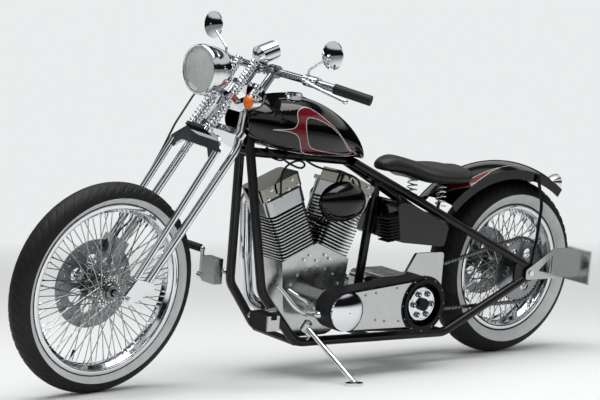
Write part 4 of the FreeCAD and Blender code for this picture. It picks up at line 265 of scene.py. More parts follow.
TYRE_RUBBER = rubber("tyre_rubber", "#0b0b0c", "#131314", 0.6, 1.5 * MM)
WHITEWALL = rubber("whitewall_rubber", "#c3c7c5", "#b5bab8", 0.5, 1.5 * MM)
BELT_RUBBER = rubber("belt_rubber", "#0e0f11", "#17181a", 0.5, 1.0 * MM)
GRIP_RUBBER = rubber("grip_rubber", "#0c0c0d", "#141415", 0.5, 1.0 * MM)
LEATHER = leather("seat_leather", "#0d0d0e")
AMBER = lens("amber_lens", "#e06a0c", 0.1, 0.15)
RED_LENS = lens("red_lens", "#b3130d", 0.08, 0.2)
LAMP_GLASS = lens("fluted_lamp_glass", "#c4cac6", 0.12, 0.25)
print("rubber, hide and lenses ready")

# %% [markdown]
# The cylinders are cast black and their fins' rims are machined bright afterwards, so the finish
# follows the shape: a face that looks along the cylinder, or that lies deep between the fins, is
# black enamel, and a rim that looks outward is cut metal.
# %% Cylinder finish
CRANK = Vector((-66 * MM, 0, 264 * MM))
SLANT = math.radians(22.5)


def finned(name, slant):
    """Black cylinder with bright fin rims, for a cylinder at a slant from upright."""
    material, tree, shader, point = finish(name, "#0d0d0e")
    axis = (CHASSIS.to_3x3() @ Vector((math.sin(slant), 0, math.cos(slant)))).normalized()
    normal = tree.nodes["Texture Coordinate"].outputs["Normal"]
    along = add(tree, VECTOR_MATH, {"operation": "DOT_PRODUCT"}, _0=normal, _1=axis)
    flat = add(tree, MATH, {"operation": "ABSOLUTE"}, _0=along)
    ledge = add(tree, RANGE, Value=flat, From_Min=0.5, From_Max=0.6)
    out = add(tree, VECTOR_MATH, {"operation": "SUBTRACT"}, _0=point, _1=CHASSIS @ CRANK)
    side = add(tree, VECTOR_MATH, {"operation": "CROSS_PRODUCT"}, _0=out, _1=axis)
    reach = add(tree, VECTOR_MATH, {"operation": "LENGTH"}, _0=side)
    deep = add(tree, RANGE, Value=reach, From_Min=60 * MM, From_Max=64 * MM, To_Min=1, To_Max=0)
    dark = add(tree, MATH, {"operation": "MAXIMUM"}, _0=ledge, _1=deep)
    grit = add(tree, NOISE, Vector=point, Scale=1 / MM, Detail=4.0, Roughness=0.6)
    pits = add(tree, RANGE, Value=grit, From_Min=0.35, From_Max=0.65)
    cut = add(tree, MIX, BLEND_COLOURS, _0=pits, _6="#9a9c9e", _7="#c9cbcc")
    fill(shader, Base_Color=add(tree, MIX, BLEND_COLOURS, _0=dark, _6=cut, _7="#0d0d0e"),
         Metallic=add(tree, RANGE, Value=dark, To_Min=1, To_Max=0),
         Roughness=add(tree, RANGE, Value=dark, To_Min=0.22, To_Max=0.5),
         Normal=add(tree, BUMP, Height=grit, Distance=0.05 * MM))
    return material


FRONT_FINS, REAR_FINS = finned("machined_fins_front", -SLANT), finned("machined_fins_rear", SLANT)
print("cylinder finishes ready")

# %% [markdown]
# Each carried-over piece gets its finish by name.
# %% Finishes of the carried-over pieces
FINISHES = (
    (CHROME, "front_wheel rear_wheel front_axle rear_axle front_pulley air_cleaner exhaust_pipes "
             "tank_cap seat_springs tail_light side_stand stand_bracket rigid_fork sprung_fork "
             "fork_springs fork_rockers headlight turn_signals levers mirrors speedometer pushrod_tubes"),
    (POLISHED, "engine_case gearbox motor_plate belt_guard plate_bracket left_foot_control "
               "right_foot_control"),
    (STEEL, "front_disc rear_disc gearbox_sprocket rear_sprocket"), (SATIN, "rear_caliper front_caliper"),
    (DARK_REFLECTION_CHROME, "rocker_covers"), (BAR_CHROME, "handlebar"), (BLACK_ALLOY, "clutch regulator"),
    (CHAIN_STEEL, "drive_chain"), (FRONT_FINS, "front_cylinder"), (REAR_FINS, "rear_cylinder"),
    (FRAME_BLACK, "frame fender_struts"), (COVER_BLACK, "horn_cover oil_tank"),
    (TANK_BLACK, "fuel_tank"), (FENDER_BLACK, "rear_fender"), (PLATE_PAINT, "number_plate"),
    (TYRE_RUBBER, "front_tyre rear_tyre"), (BELT_RUBBER, "primary_belt"),
    (GRIP_RUBBER, "grips foot_pegs front_brake_hose"), (LEATHER, "seat"),
    (AMBER, "signal_lenses"), (RED_LENS, "tail_lens"), (LAMP_GLASS, "headlight_lens"),
)


def dress(item, material):
    """One material on a whole piece."""
    item.data.materials.clear()
    item.data.materials.append(material)


bare = set(NODES)
for material, names in FINISHES:
    for name in names.split():
        dress(NODES[name], material)
        bare.remove(name)
print("pieces with no finish:", sorted(bare))

# %% [markdown]
# The fine pieces are built on the upright machine or round a wheel's own axle, and a matrix takes
# them to their place. One helper makes a mesh from points and faces, turns its faces outward,
# dresses it and lets it ride on the body that carries it.
# %% Building helpers
WHOLE = Matrix.Identity(4)
SIDES = (("left", -1), ("right", 1))


def show(name, mesh, body, angle=35.0):
    """A finished mesh as a piece that rides on a body, smooth but for its sharp edges."""
    mesh.polygons.foreach_set("use_smooth", [True] * len(mesh.polygons))
    mesh.set_sharp_from_angle(angle=math.radians(angle))
    item = placed(name, mesh)
    if body:
        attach(item, body)
    return item


def piece(name, shape, body, materials, place=WHOLE, zones=None, angle=35.0):
    """A closed piece from its points and faces, with a material number for each face."""
    points, faces = shape
    mesh = bpy.data.meshes.new(name)
    mesh.from_pydata([tuple(place @ Vector(p)) for p in points], [], faces)
    for material in materials:
        mesh.materials.append(material)
    if zones:
        mesh.polygons.foreach_set("material_index", zones)
    tidy = bmesh.new()
    tidy.from_mesh(mesh)
    bmesh.ops.remove_doubles(tidy, verts=tidy.verts, dist=0.01 * MM)
    bmesh.ops.recalc_face_normals(tidy, faces=tidy.faces)
    tidy.to_mesh(mesh)
    tidy.free()
    return show(name, mesh, body, angle)


def round_y(radius, y, turn):
    """A point at a turn round the Y axis, from a radius and a y in millimetres."""
    return Vector((radius * MM * math.cos(turn), y * MM, radius * MM * math.sin(turn)))


def walled(count):
    """The faces between two rings of points that follow each other, and over their ends."""
    sides = [(k, (k + 1) % count, count + (k + 1) % count, count + k) for k in range(count)]
    return sides + [tuple(range(count))[::-1], tuple(range(count, 2 * count))]


def lathe(outline, steps, closed=True, twist=None):
    """An outline of (radius, across) in millimetres, turned about the Y axis."""
    count = len(outline)
    points = [round_y(r, y, 2 * math.pi * step / steps + (twist[spot] if twist else 0))
              for step in range(steps) for spot, (r, y) in enumerate(outline)]
    spans = [(k, (k + 1) % count) for k in range(count if closed else count - 1)]
    rows = [(step * count, (step + 1) % steps * count) for step in range(steps)]
    return points, [(near + a, near + b, far + b, far + a) for near, far in rows for a, b in spans]


def rod_shape(start, end, radius, sides=8):
    """A straight round rod between two points, in metres, with its ends closed."""
    start, end = Vector(start), Vector(end)
    ahead = (end - start).normalized()
    across = ahead.orthogonal().normalized()
    up = ahead.cross(across)
    turns = [2 * math.pi * k / sides for k in range(sides)]
    ring = [(across * math.cos(t) + up * math.sin(t)) * radius for t in turns]
    return [middle + r for middle in (start, end) for r in ring], walled(sides)


def joined(shapes):
    """Several shapes as one."""
    points, faces = [], []
    for more, round_them in shapes:
        faces += [tuple(k + len(points) for k in face) for face in round_them]
        points += more
    return points, faces


print("building helpers ready")

# %% [markdown]
# Spokes, bolts and links repeat, and Geometry Nodes are made for that. One tree repeats an item
# round the Y axis, as a wheel builder laces a wheel. The other sets an item on each point of a host
# mesh, turned as an attribute of that point says. A third winds a coil spring.
# %% Trees that repeat an item


def new_tree(name, **inputs):
    """An empty tree with named inputs, the last of them its finish, and a geometry output."""
    tree = bpy.data.node_groups.new(name, "GeometryNodeTree")
    for title, kind in {**inputs, "Finish": "Material"}.items():
        tree.interface.new_socket(title, in_out="INPUT", socket_type="NodeSocket" + kind)
    tree.interface.new_socket("Geometry", in_out="OUTPUT", socket_type="NodeSocketGeometry")
    return tree, add(tree, "NodeGroupInput").outputs


def ended(tree, given, geometry):
    """Instances made real and dressed, as every tree here ends."""
    real = add(tree, "GeometryNodeRealizeInstances", Geometry=geometry)
    dressed = add(tree, "GeometryNodeSetMaterial", Geometry=real, Material=given["Finish"])
    add(tree, "NodeGroupOutput", _0=dressed)
    return tree


def set_items(tree, given, points, angles):
    """The item on each of some points, turned by the point's own Euler angles."""
    item = add(tree, "GeometryNodeObjectInfo", Object=given["Item"]).outputs["Geometry"]
    facing = add(tree, "FunctionNodeEulerToRotation", _0=angles)
    return ended(tree, given, add(tree, "GeometryNodeInstanceOnPoints", Points=points, Instance=item,
                                  Rotation=facing))


def ring_tree():
    """An item repeated a number of times round the Y axis."""
    tree, given = new_tree("laced_ring", Item="Object", Count="Int")
    step = add(tree, MATH, {"operation": "DIVIDE"}, _0=2 * math.pi, _1=given["Count"])
    turn = add(tree, MATH, {"operation": "MULTIPLY"}, _0=add(tree, "GeometryNodeInputIndex"), _1=step)
    return set_items(tree, given, add(tree, "GeometryNodePoints", Count=given["Count"]),
                     add(tree, "ShaderNodeCombineXYZ", Y=turn))


def scatter_tree():
    """An item on each point of the host mesh, turned as the point's attribute says."""
    tree, given = new_tree("set_on_points", Geometry="Geometry", Item="Object")
    return set_items(tree, given, given["Geometry"], add(
        tree, "GeometryNodeInputNamedAttribute", {"data_type": "FLOAT_VECTOR"}, Name="turn"))


def coil_tree():
    """A wire wound round the Z axis."""
    tree, given = new_tree("wound_coil", Turns="Float", Radius="Float", Length="Float", Wire="Float")
    path = add(tree, "GeometryNodeCurveSpiral", Resolution=28, Rotations=given["Turns"],
               Start_Radius=given["Radius"], End_Radius=given["Radius"], Height=given["Length"])
    wire = add(tree, "GeometryNodeCurvePrimitiveCircle", Resolution=10, Radius=given["Wire"])
    return ended(tree, given, add(tree, "GeometryNodeCurveToMesh", Curve=path, Profile_Curve=wire,
                                  Fill_Caps=True))


RING, SCATTER, COIL = ring_tree(), scatter_tree(), coil_tree()
print("trees:", RING.name, SCATTER.name, COIL.name)

# %% [markdown]
# A tree's result is turned into a plain mesh at once, and the modifier goes, so that what is handed
# over is an ordinary piece in its place.
# %% Run a tree


def frozen(item, name):
    """A plain mesh of an object as its modifiers leave it."""
    bpy.context.view_layer.update()
    mesh = bpy.data.meshes.new_from_object(item.evaluated_get(bpy.context.evaluated_depsgraph_get()))
    mesh.name = name
    return mesh


def grown(name, tree, body, place=WHOLE, host=None, angle=35.0, **values):
    """A plain mesh piece from a tree and the values of its named inputs."""
    maker = placed(name + "_maker", host or bpy.data.meshes.new(name + "_host"))
    modifier = maker.modifiers.new("tree", "NODES")
    modifier.node_group = tree
    for socket in tree.interface.items_tree:
        if socket.in_out == "INPUT" and socket.name in values:
            modifier[socket.identifier] = values[socket.name]
    mesh = frozen(maker, name)
    mesh.transform(place)
    bpy.data.objects.remove(maker)
    return show(name, mesh, body, angle)


def repeated(name, tree, shape, material, body, place, host=None, **values):
    """A shape repeated by a tree that takes it as its item."""
    item = piece(name + "_item", shape, None, [material])
    made = grown(name, tree, body, place, host, Item=item, Finish=material, **values)
    bpy.data.objects.remove(item)
    return made


def set_on(name, shape, spots, material, body="frame", place=CHASSIS):
    """A shape on each of some spots, given as (point, turn) with the turn in Euler angles."""
    host = bpy.data.meshes.new(name + "_spots")
    host.from_pydata([tuple(p) for p, _ in spots], [], [])
    turns = host.attributes.new("turn", "FLOAT_VECTOR", "POINT")
    turns.data.foreach_set("vector", [v for _, t in spots for v in t])
    return repeated(name, SCATTER, shape, material, body, place, host)


print("tree runners ready")

# %% [markdown]
# The tyres are tall and round-shouldered, with white walls. The tread's curved grooves lean back from
# its middle, so the mesh's rows are sheared along them and every groove has clean edges.
# %% Tyres
FRONT_WHEEL = FORK @ Matrix.Translation(FRONT_AXLE)
REAR_WHEEL = CHASSIS @ Matrix.Translation(REAR_AXLE)
FRONT_RIM, REAR_RIM = (280, 62, 267), (238, 108, 224)  # radius, width and radius of the bead's seat
ROWS, GROOVE_PERIOD, GROOVE_ROWS, GROOVE_DEPTH = 33, 8, {0, 1}, 2.2 * MM
GROOVE_FROM, GROOVE_TO, LEAN_BACK, SWEEP = 0.16, 0.9, 9, 1.6  # shares of the half width; degrees
BEAD_INSET, WALL, BULGE = 4.3, 9, 2.2


def tyre_shape(radius, width, drop, wheel_rim, steps):
    """Points, faces and material numbers of a tyre: 0 is black rubber, 1 is the white wall."""
    rim, rim_width, seat = wheel_rim
    half, bead = width / 2, rim_width / 2 - BEAD_INSET
    crown = (half ** 2 + drop ** 2) / (2 * drop)
    edge = radius - drop
    side = [(seat + 0.3, bead), (rim + 0.3, bead), (rim + 1.6, bead + 1.6)]
    for share in (0.10, 0.22, 0.36, 0.5, 0.64, 0.78, 0.90):
        bulge = math.sin(math.pi * share) * BULGE
        side.append((rim + 1 + (edge - rim - 1) * share + bulge * 0.3, bead + (half - bead) * share + bulge))
    side += [(edge - 1.4, half - 1.6), (edge - 0.8, half - 0.4)]
    across = [half * (1 - 2 * k / (ROWS - 1)) for k in range(ROWS)]
    outline = side + [(radius - crown + math.sqrt(crown ** 2 - y * y), y) for y in across]
    outline += [(r, -y) for r, y in reversed(side)]
    inside = [(edge - 4, half - WALL), (rim + 0.3, bead - WALL), (seat + 0.3, bead - WALL)]
    outline += [(r, -y) for r, y in reversed(inside)] + [(radius - WALL, 0)] + inside
    count, first = len(outline), len(side)
    tread = range(first, first + ROWS)
    twist = [math.radians(LEAN_BACK * (min(abs(y) / half, 1) ** SWEEP if spot in tread else 1))
             for spot, (r, y) in enumerate(outline)]
    points, faces = lathe(outline, steps, True, twist)
    for step in range(steps):
        for spot in tread[2:-2]:
            y = outline[spot][1]
            own = (step + (0 if y > 0 else GROOVE_PERIOD // 2)) % GROOVE_PERIOD
            if own in GROOVE_ROWS and GROOVE_FROM < abs(y) / half < GROOVE_TO:
                p = points[step * count + spot]
                points[step * count + spot] = p - Vector((p.x, 0, p.z)).normalized() * GROOVE_DEPTH
    white = {*range(3, first - 2), *range(first + ROWS + 2, 2 * first + ROWS - 4)}
    zones = [1 if k in white else 0 for _ in range(steps) for k in range(count)]
    return (points, faces), zones


for name, radius, width, drop, rim, steps, place in (
        ("front", 344.9, 91.8, 40, FRONT_RIM, 480, FRONT_WHEEL),
        ("rear", 331.9, 149.8, 48, REAR_RIM, 400, REAR_WHEEL)):
    shape, zones = tyre_shape(radius, width, drop, rim, steps)
    tyre = piece(f"{name}_tyre_tread", shape, f"{name}_wheel", [TYRE_RUBBER, WHITEWALL], place, zones)
    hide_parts(f"{name}_tyre")
    print(tyre.name, len(tyre.data.polygons), "faces")

# %% [markdown]
# A laced wheel is a rolled rim, a turned hub and eighty spokes. Each spoke leaves its flange nearly
# along the hub's edge and crosses its neighbours, and at the rim two meet in a V under their
# nipples. Four spokes make one twentieth of the wheel, and the ring tree turns them round.
# %% Laced wheels
FRONT_HUB, REAR_HUB = (24, 40, 112, 34, 13), (34, 56, 188, 44, 15)  # see hub_section
REPEATS, PAIR_SPREAD, FLANGE_SPREAD, RIM_DEPTH = 20, 1.7, 2.6, 15.5
WIRE, NIPPLE, NIPPLE_LENGTH, HEAD, HEAD_LENGTH = 1.7 * MM, 3.3 * MM, 13 * MM, 2.9 * MM, 4.8 * MM


def mirrored(side):
    """A whole section from the half that is drawn, whose points at y = 0 are shared."""
    return side + [(r, -y) for r, y in reversed(side) if y]


def rim_section(rim, width, seat):
    """Section of a rolled rim with rounded edges."""
    edge, flange, well = width / 2, width / 2 - 4, seat - 12
    shelf, low = edge * 0.62, edge * 0.4
    return mirrored([
        (well - 3.5, 0), (well - 3.5, low - 1), (well - 2.6, low + 1), (seat - 4.6, shelf + 1.6),
        (seat - 3.5, shelf + 4), (seat - 3.5, edge - 2), (seat - 1.5, edge - 0.3), (rim - 2.6, edge),
        (rim - 0.6, edge - 0.7), (rim, edge - 2), (rim - 0.6, flange + 0.7), (rim - 2.6, flange),
        (seat, flange), (seat, shelf), (well, low), (well, 0)])


def hub_section(radius, flange, width, place, bore):
    """Section of a turned hub with a spoke flange at each place and a collar at each end."""
    half = width / 2
    return mirrored([
        (radius * 0.82, 0), (radius * 0.86, place * 0.5), (radius, place - 8), (flange - 1, place - 3.5),
        (flange, place - 2), (flange, place + 2), (flange - 1, place + 3.5), (radius * 1.1, place + 5),
        (radius, place + 8), (radius, half - 3), (radius - 3, half), (bore, half)])


def laced_wheel(name, place, rim, hub, reach, rim_side):
    """Rim, hub, spokes and nipples of a wheel, each spoke reaching some degrees round the hub."""
    rim_piece = piece(name + "_rim", lathe(rim_section(*rim), 160), name, [CHROME], place, angle=50)
    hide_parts(name)
    piece(name + "_hub", lathe(hub_section(*hub), 64), name, [HUB_METAL], place, angle=28)
    wires, nipples = [], []
    for side in (1, -1):
        outward = Vector((0, side * HEAD_LENGTH / 2, 0))
        for lean in (1, -1):
            at = math.radians((0 if side > 0 else 180 / REPEATS) + lean * PAIR_SPREAD)
            turn = at + lean * math.radians(reach)
            foot = round_y(hub[1] - 4, side * (hub[3] + lean * FLANGE_SPREAD), turn)
            head = round_y(rim[2] - RIM_DEPTH, side * rim_side, at)
            wires.append(rod_shape(foot, head, WIRE, 6))
            nipples.append(rod_shape(head, head + (foot - head).normalized() * NIPPLE_LENGTH, NIPPLE, 6))
            nipples.append(rod_shape(foot - outward, foot + outward, HEAD, 8))
    for part, shapes, metal in (("spokes", wires, SPOKE_STEEL), ("nipples", nipples, CHROME)):
        repeated(f"{name}_{part}", RING, joined(shapes), metal, name, place, Count=REPEATS)
    print(name, "has", REPEATS * len(wires), "spokes")


laced_wheel("front_wheel", FRONT_WHEEL, FRONT_RIM, FRONT_HUB, 58, 5)
laced_wheel("rear_wheel", REAR_WHEEL, REAR_RIM, REAR_HUB, 52, 9)

# %% [markdown]
# Fork springs are chromed steel wire wound round a rod: two stiff ones under the perch and two
# lighter ones over it. The seat stands on two short ones. The coil tree winds each of them.
# %% Coil springs
STEER_FRONT = Vector((-math.cos(RAKE), 0, math.sin(RAKE)))
SPRING_AHEAD, SPRING_SPREAD = 157 * MM, 38 * MM
SEAT_SPRING_X, SEAT_SPRING_SPREAD, SEAT_WIRE = 470 * MM, 80 * MM, 2.6 * MM


def fork_coil(name, side, low, length, radius, turns, wire):
    """A coil on a fork spring's line."""
    start = (AXIS_FOOT + STEER_LINE * ((low + wire) * MM) + STEER_FRONT * SPRING_AHEAD
             + Vector((0, side * SPRING_SPREAD, 0)))
    place = FORK @ Matrix.Translation(start) @ Matrix.Rotation(RAKE, 4, "Y")
    return grown(name, COIL, "fork", place, Turns=turns, Radius=(radius - wire) * MM,
                 Length=(length - 2 * wire) * MM, Wire=wire * MM, Finish=CHROME)


upright = [CHASSIS.inverted() @ v.co for v in NODES["seat_springs"].data.vertices]
spring_low, spring_high = min(p.z for p in upright), max(p.z for p in upright)
for word, side in SIDES:
    fork_coil(f"{word}_lower_coil", side, 965.7, 118, 19, 8.0, 3.2)
    upper = fork_coil(f"{word}_upper_coil", side, 1106.3, 130, 16, 11.0, 2.6)
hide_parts("fork_springs")
for word, side in SIDES:
    place = CHASSIS @ Matrix.Translation((SEAT_SPRING_X, side * SEAT_SPRING_SPREAD, spring_low + SEAT_WIRE))
    seat_coil = grown(f"{word}_seat_coil", COIL, "frame", place, Turns=5.0, Radius=17.4 * MM,
                      Length=spring_high - spring_low - 2 * SEAT_WIRE, Wire=SEAT_WIRE, Finish=CHROME)
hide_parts("seat_springs")
print("seat springs stand", round((spring_high - spring_low) / MM), "mm tall")

# %% [markdown]
# The tank's red panel and its pin stripes are paint, laid on after the black. Each is a thin patch
# whose outline is drawn flat and then laid on the surface by rays, so its edges stay sharp at any
# size, which a pattern held in the vertices could not do.
# %% Painted patches
from mathutils.bvhtree import BVHTree
from mathutils.geometry import delaunay_2d_cdt

PANEL_RED = lacquer("candy_red_lacquer", "#5c0d18", 0.004 * MM)
STRIPE_GREY = lacquer("pin_stripe_enamel", "#a8a39d", 0.004 * MM, 0.2)
GRID = 7 * MM


def smoothed(corners, closed=True, steps=6):
    """A smooth line through some corners."""
    count, line = len(corners), []
    for k in range(count if closed else count - 1):
        a, b, c, d = [Vector(corners[j % count if closed else min(max(j, 0), count - 1)])
                      for j in range(k - 1, k + 3)]
        for step in range(steps):
            t = step / steps
            line.append(0.5 * (2 * b + (c - a) * t + (2 * a - 5 * b + 4 * c - d) * t * t
                               + (3 * b - a - 3 * c + d) * t ** 3))
    return line if closed else line + [Vector(corners[-1])]


def surface_of(node):
    """A node's surface on the upright machine, for rays."""
    mesh, back = NODES[node].data, CHASSIS.inverted()
    return BVHTree.FromPolygons([back @ v.co for v in mesh.vertices],
                                [tuple(p.vertices) for p in mesh.polygons])


def laid(name, points, faces, skin, lift, material, side):
    """A flat patch laid by rays on a skin, which is (aim, surface), and raised off it a little."""
    (aim, surface), hits, flips = skin, {}, 0.0
    for k in {k for face in faces for k in face}:
        start, way = aim(*points[k])
        start.y, way.y = -side * start.y, -side * way.y
        spot, normal, _, _ = surface.ray_cast(start, way)
        if spot is not None:
            normal = -normal if normal.dot(way) > 0 else normal
            hits[k] = (spot + normal * lift, normal)
    kept = [face for face in faces if all(k in hits for k in face)]
    order = {k: number for number, k in enumerate(sorted({k for face in kept for k in face}))}
    for face in kept:
        a, b, c = [hits[k][0] for k in face[:3]]
        flips += (b - a).cross(c - a).dot(hits[face[0]][1])
    mesh = bpy.data.meshes.new(name)
    mesh.from_pydata([tuple(CHASSIS @ hits[k][0]) for k in sorted(order)], [],
                     [tuple(order[k] for k in (face if flips > 0 else face[::-1])) for face in kept])
    mesh.materials.append(material)
    return show(name, mesh, "frame", 60)


def patch(name, corners, skin, lift, material, side):
    """A filled patch with a smooth outline."""
    line = smoothed(corners)
    low, high = [[pick(p[k] for p in line) for k in (0, 1)] for pick in (min, max)]
    steps = [range(int((high[k] - low[k]) / GRID)) for k in (0, 1)]
    inner = [Vector((low[0] + GRID * (i + 0.5), low[1] + GRID * (j + 0.5)))
             for i in steps[0] for j in steps[1]]
    points, _, faces, *_ = delaunay_2d_cdt(line + inner, [], [list(range(len(line)))], 1, 1e-7)
    return laid(name, points, faces, skin, lift, material, side)


def stripe(name, corners, skin, lift, width, side, closed=True):
    """A narrow painted line."""
    line = smoothed(corners, closed, 8)
    count, points = len(line), []
    for k, spot in enumerate(line):
        after = line[(k + 1) % count] if closed else line[min(k + 1, count - 1)]
        before = line[k - 1] if closed or k else line[0]
        ahead = (after - before).normalized()
        out = Vector((-ahead.y, ahead.x)) * (width / 2)
        points += [spot + out, spot - out]
    rungs = [(2 * k, 2 * ((k + 1) % count)) for k in range(count if closed else count - 1)]
    return laid(name, points, [(a, a + 1, b + 1, b) for a, b in rungs], skin, lift, STRIPE_GREY, side)


def from_left(x, z):
    """Ray at the tank from its left."""
    return Vector((x, -0.4, z)), Vector((0, 1, 0))


def millimetres(*pairs):
    """Corners given in millimetres, in metres."""
    return [(a * MM, b * MM) for a, b in pairs]


PANEL = millimetres(
    (-229, 921), (-213, 932), (-189, 935), (-160, 922), (-126, 897), (-87, 867), (-48, 831), (-4, 796),
    (46, 776), (0, 773), (-60, 774), (-110, 775), (-157, 778), (-186, 782), (-210, 793), (-223, 812),
    (-231, 832), (-241, 846), (-255, 853), (-276, 858), (-322, 861), (-276, 864), (-254, 868),
    (-242, 878), (-236, 893), (-235, 908))
FIELD = millimetres(
    (-207, 888), (-202, 899), (-189, 904), (-153, 896), (-113, 877), (-78, 853), (-48, 826), (-20, 800),
    (8, 783), (-43, 781), (-115, 790), (-169, 800), (-190, 811), (-200, 828), (-206, 848), (-209, 870))
TANK_SKIN = (from_left, surface_of("fuel_tank"))
for word, side in SIDES:
    patch(f"{word}_tank_panel", PANEL, TANK_SKIN, 0.25 * MM, PANEL_RED, side)
    patch(f"{word}_tank_field", FIELD, TANK_SKIN, 0.5 * MM, TANK_BLACK, side)
    stripe(f"{word}_tank_stripe", PANEL, TANK_SKIN, 0.75 * MM, 2.6 * MM, side)
    line = stripe(f"{word}_field_stripe", FIELD, TANK_SKIN, 0.8 * MM, 2.4 * MM, side)
print("the tank's inner pin stripe has", len(line.data.polygons), "faces")

# %% [markdown]
# The fender's stripe runs along its shoulder. There the outline is drawn on the unrolled crown, with
# the way round the wheel as its length, and the rays come in towards the fender's centre.
# %% Fender stripe
FENDER_CENTRE = Vector((821 * MM, 0, 269 * MM))
FENDER_REACH, OUTSIDE = 462 * MM, 0.6


def from_outside(along, y):
    """Ray at the fender from outside, at a length round it from its rear end's level."""
    turn = along / FENDER_REACH
    out = Vector((math.cos(turn), 0, math.sin(turn)))
    return FENDER_CENTRE + out * OUTSIDE + Vector((0, y, 0)), -out


def round_fender(*pairs):
    """Corners given by degrees round the fender and millimetres across it."""
    return [(math.radians(a) * FENDER_REACH, y * MM) for a, y in pairs]


SHOULDER = round_fender((132, -30), (128, -44), (124, -68), (121, -84), (117.5, -88), (113.5, -87),
                        (108.5, -82), (104, -75), (98, -69), (103.5, -67), (109.6, -67), (114, -66),
                        (117.7, -61), (120.7, -45), (124, -24), (130, -14))
TAIL_LINE = round_fender((99, -69), (92, -65), (84, -61), (76, -59), (68, -58))
FENDER_SKIN = (from_outside, surface_of("rear_fender"))
for word, side in SIDES:
    patch(f"{word}_fender_panel", SHOULDER, FENDER_SKIN, 0.25 * MM, PANEL_RED, side)
    stripe(f"{word}_fender_stripe", SHOULDER, FENDER_SKIN, 0.6 * MM, 2.6 * MM, side)
    line = stripe(f"{word}_tail_stripe", TAIL_LINE, FENDER_SKIN, 0.6 * MM, 2.2 * MM, side, False)
print("the fender's tail stripe has", len(line.data.polygons), "faces")

# %% [markdown]
# The saddle is foam under a stretched hide. Its solid is copied a little smaller, remeshed into even
# cells and blown up as cloth for a few frames, which crowns the top and draws the sides in as foam
# does. The hide stays within the solid's room by a cap on how far a point may move, and then it is
# drawn taut by smoothing, because real hide is stretched over its foam without creases.
# %% Saddle
CELL, SHRINK, MOST_MOVE = 5 * MM, 3 * MM, 5 * MM
PRESSURE, CLOTH_FRAMES, SMOOTHINGS = 4.0, 20, 14


def merged_copy(node, shrink):
    """A welded copy of a node's mesh, drawn in along its normals."""
    mesh = NODES[node].data.copy()
    mesh.materials.clear()
    weld = bmesh.new()
    weld.from_mesh(mesh)
    bmesh.ops.remove_doubles(weld, verts=weld.verts, dist=0.02 * MM)
    weld.normal_update()
    for vertex in weld.verts:
        vertex.co -= vertex.normal * shrink
    weld.to_mesh(mesh)
    weld.free()
    return mesh


def blown(item):
    """A closed mesh blown up as cloth, with a cap on how far its points move."""
    before = [v.co.copy() for v in item.data.vertices]
    cloth = item.modifiers.new("cloth", "CLOTH")
    cloth.settings.use_pressure = True
    cloth.settings.uniform_pressure_force = PRESSURE
    cloth.settings.effector_weights.gravity = 0
    for frame_number in range(1, CLOTH_FRAMES + 1):
        bpy.context.scene.frame_set(frame_number)
    after = [v.co.copy() for v in frozen(item, "blown_saddle").vertices]
    item.modifiers.remove(cloth)
    bpy.context.scene.frame_set(1)
    for vertex, old, new in zip(item.data.vertices, before, after):
        move = new - old
        vertex.co = old + move * min(1.0, MOST_MOVE / max(move.length, 1e-9))


saddle = placed("saddle", merged_copy("seat", SHRINK))
remesh = saddle.modifiers.new("cells", "REMESH")
remesh.mode, remesh.voxel_size = "VOXEL", CELL
cells = frozen(saddle, "saddle_cells")
saddle.modifiers.clear()
saddle.data = cells
blown(saddle)
taut = bmesh.new()
taut.from_mesh(saddle.data)
for _ in range(SMOOTHINGS):
    bmesh.ops.smooth_vert(taut, verts=taut.verts, factor=0.5, use_axis_x=True, use_axis_y=True,
                          use_axis_z=True)
taut.to_mesh(saddle.data)
taut.free()
rounding = saddle.modifiers.new("rounding", "SUBSURF")
rounding.levels = rounding.render_levels = 1
dress(saddle, LEATHER)
saddle.data.polygons.foreach_set("use_smooth", [True] * len(saddle.data.polygons))
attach(saddle, "frame")
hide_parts("seat")
print("saddle:", len(saddle.data.polygons), "cells")

# %% [markdown]
# Chain links are pressed plates on pins. Every pin's head shows on the outer face, one at each
# pitch of 15.875 mm, and the plates bridge them in pairs. The line runs round both sprockets along
# their outer tangents, and the scatter tree sets pins and rollers at every pitch and the outer and
# inner plates at every second one.
# %% Chain links
PITCH, CHAIN_Y = 15.875, -103.0
DRIVE, DRIVEN = ((280, 268), 54 + 6.8), ((872, 332), 115 + 6.8)  # middle, and reach to the pins
FINENESS = 200


def on_wheel(middle, reach, turn):
    """A point at a turn round a sprocket, in the side view."""
    return Vector((middle[0] + reach * math.cos(turn), middle[1] + reach * math.sin(turn)))


def belt_line(first, second, pitch):
    """Evenly spaced points round two sprockets, an even number of them, in the side view."""
    across = Vector(second[0]) - Vector(first[0])
    base = math.atan2(across.y, across.x)
    swing = math.acos((first[1] - second[1]) / across.length)
    low, high = base - swing, base + swing
    dense = []
    for here, there, turn, last_turn in ((first, second, low, high),
                                         (second, first, high, low + 2 * math.pi)):
        start, end = on_wheel(*here, turn), on_wheel(*there, turn)
        dense += [start.lerp(end, k / FINENESS) for k in range(FINENESS)]
        dense += [on_wheel(*there, turn + (last_turn - turn) * k / FINENESS) for k in range(FINENESS)]
    lengths = [0.0]
    for a, b in zip(dense, dense[1:] + dense[:1]):
        lengths.append(lengths[-1] + (b - a).length)
    count, spots, here = round(lengths[-1] / pitch / 2) * 2, [], 0
    for number in range(count):
        want = lengths[-1] * number / count
        while lengths[here + 1] < want:
            here += 1
        a, b = dense[here % len(dense)], dense[(here + 1) % len(dense)]
        spots.append(a.lerp(b, (want - lengths[here]) / max(lengths[here + 1] - lengths[here], 1e-9)))
    return spots


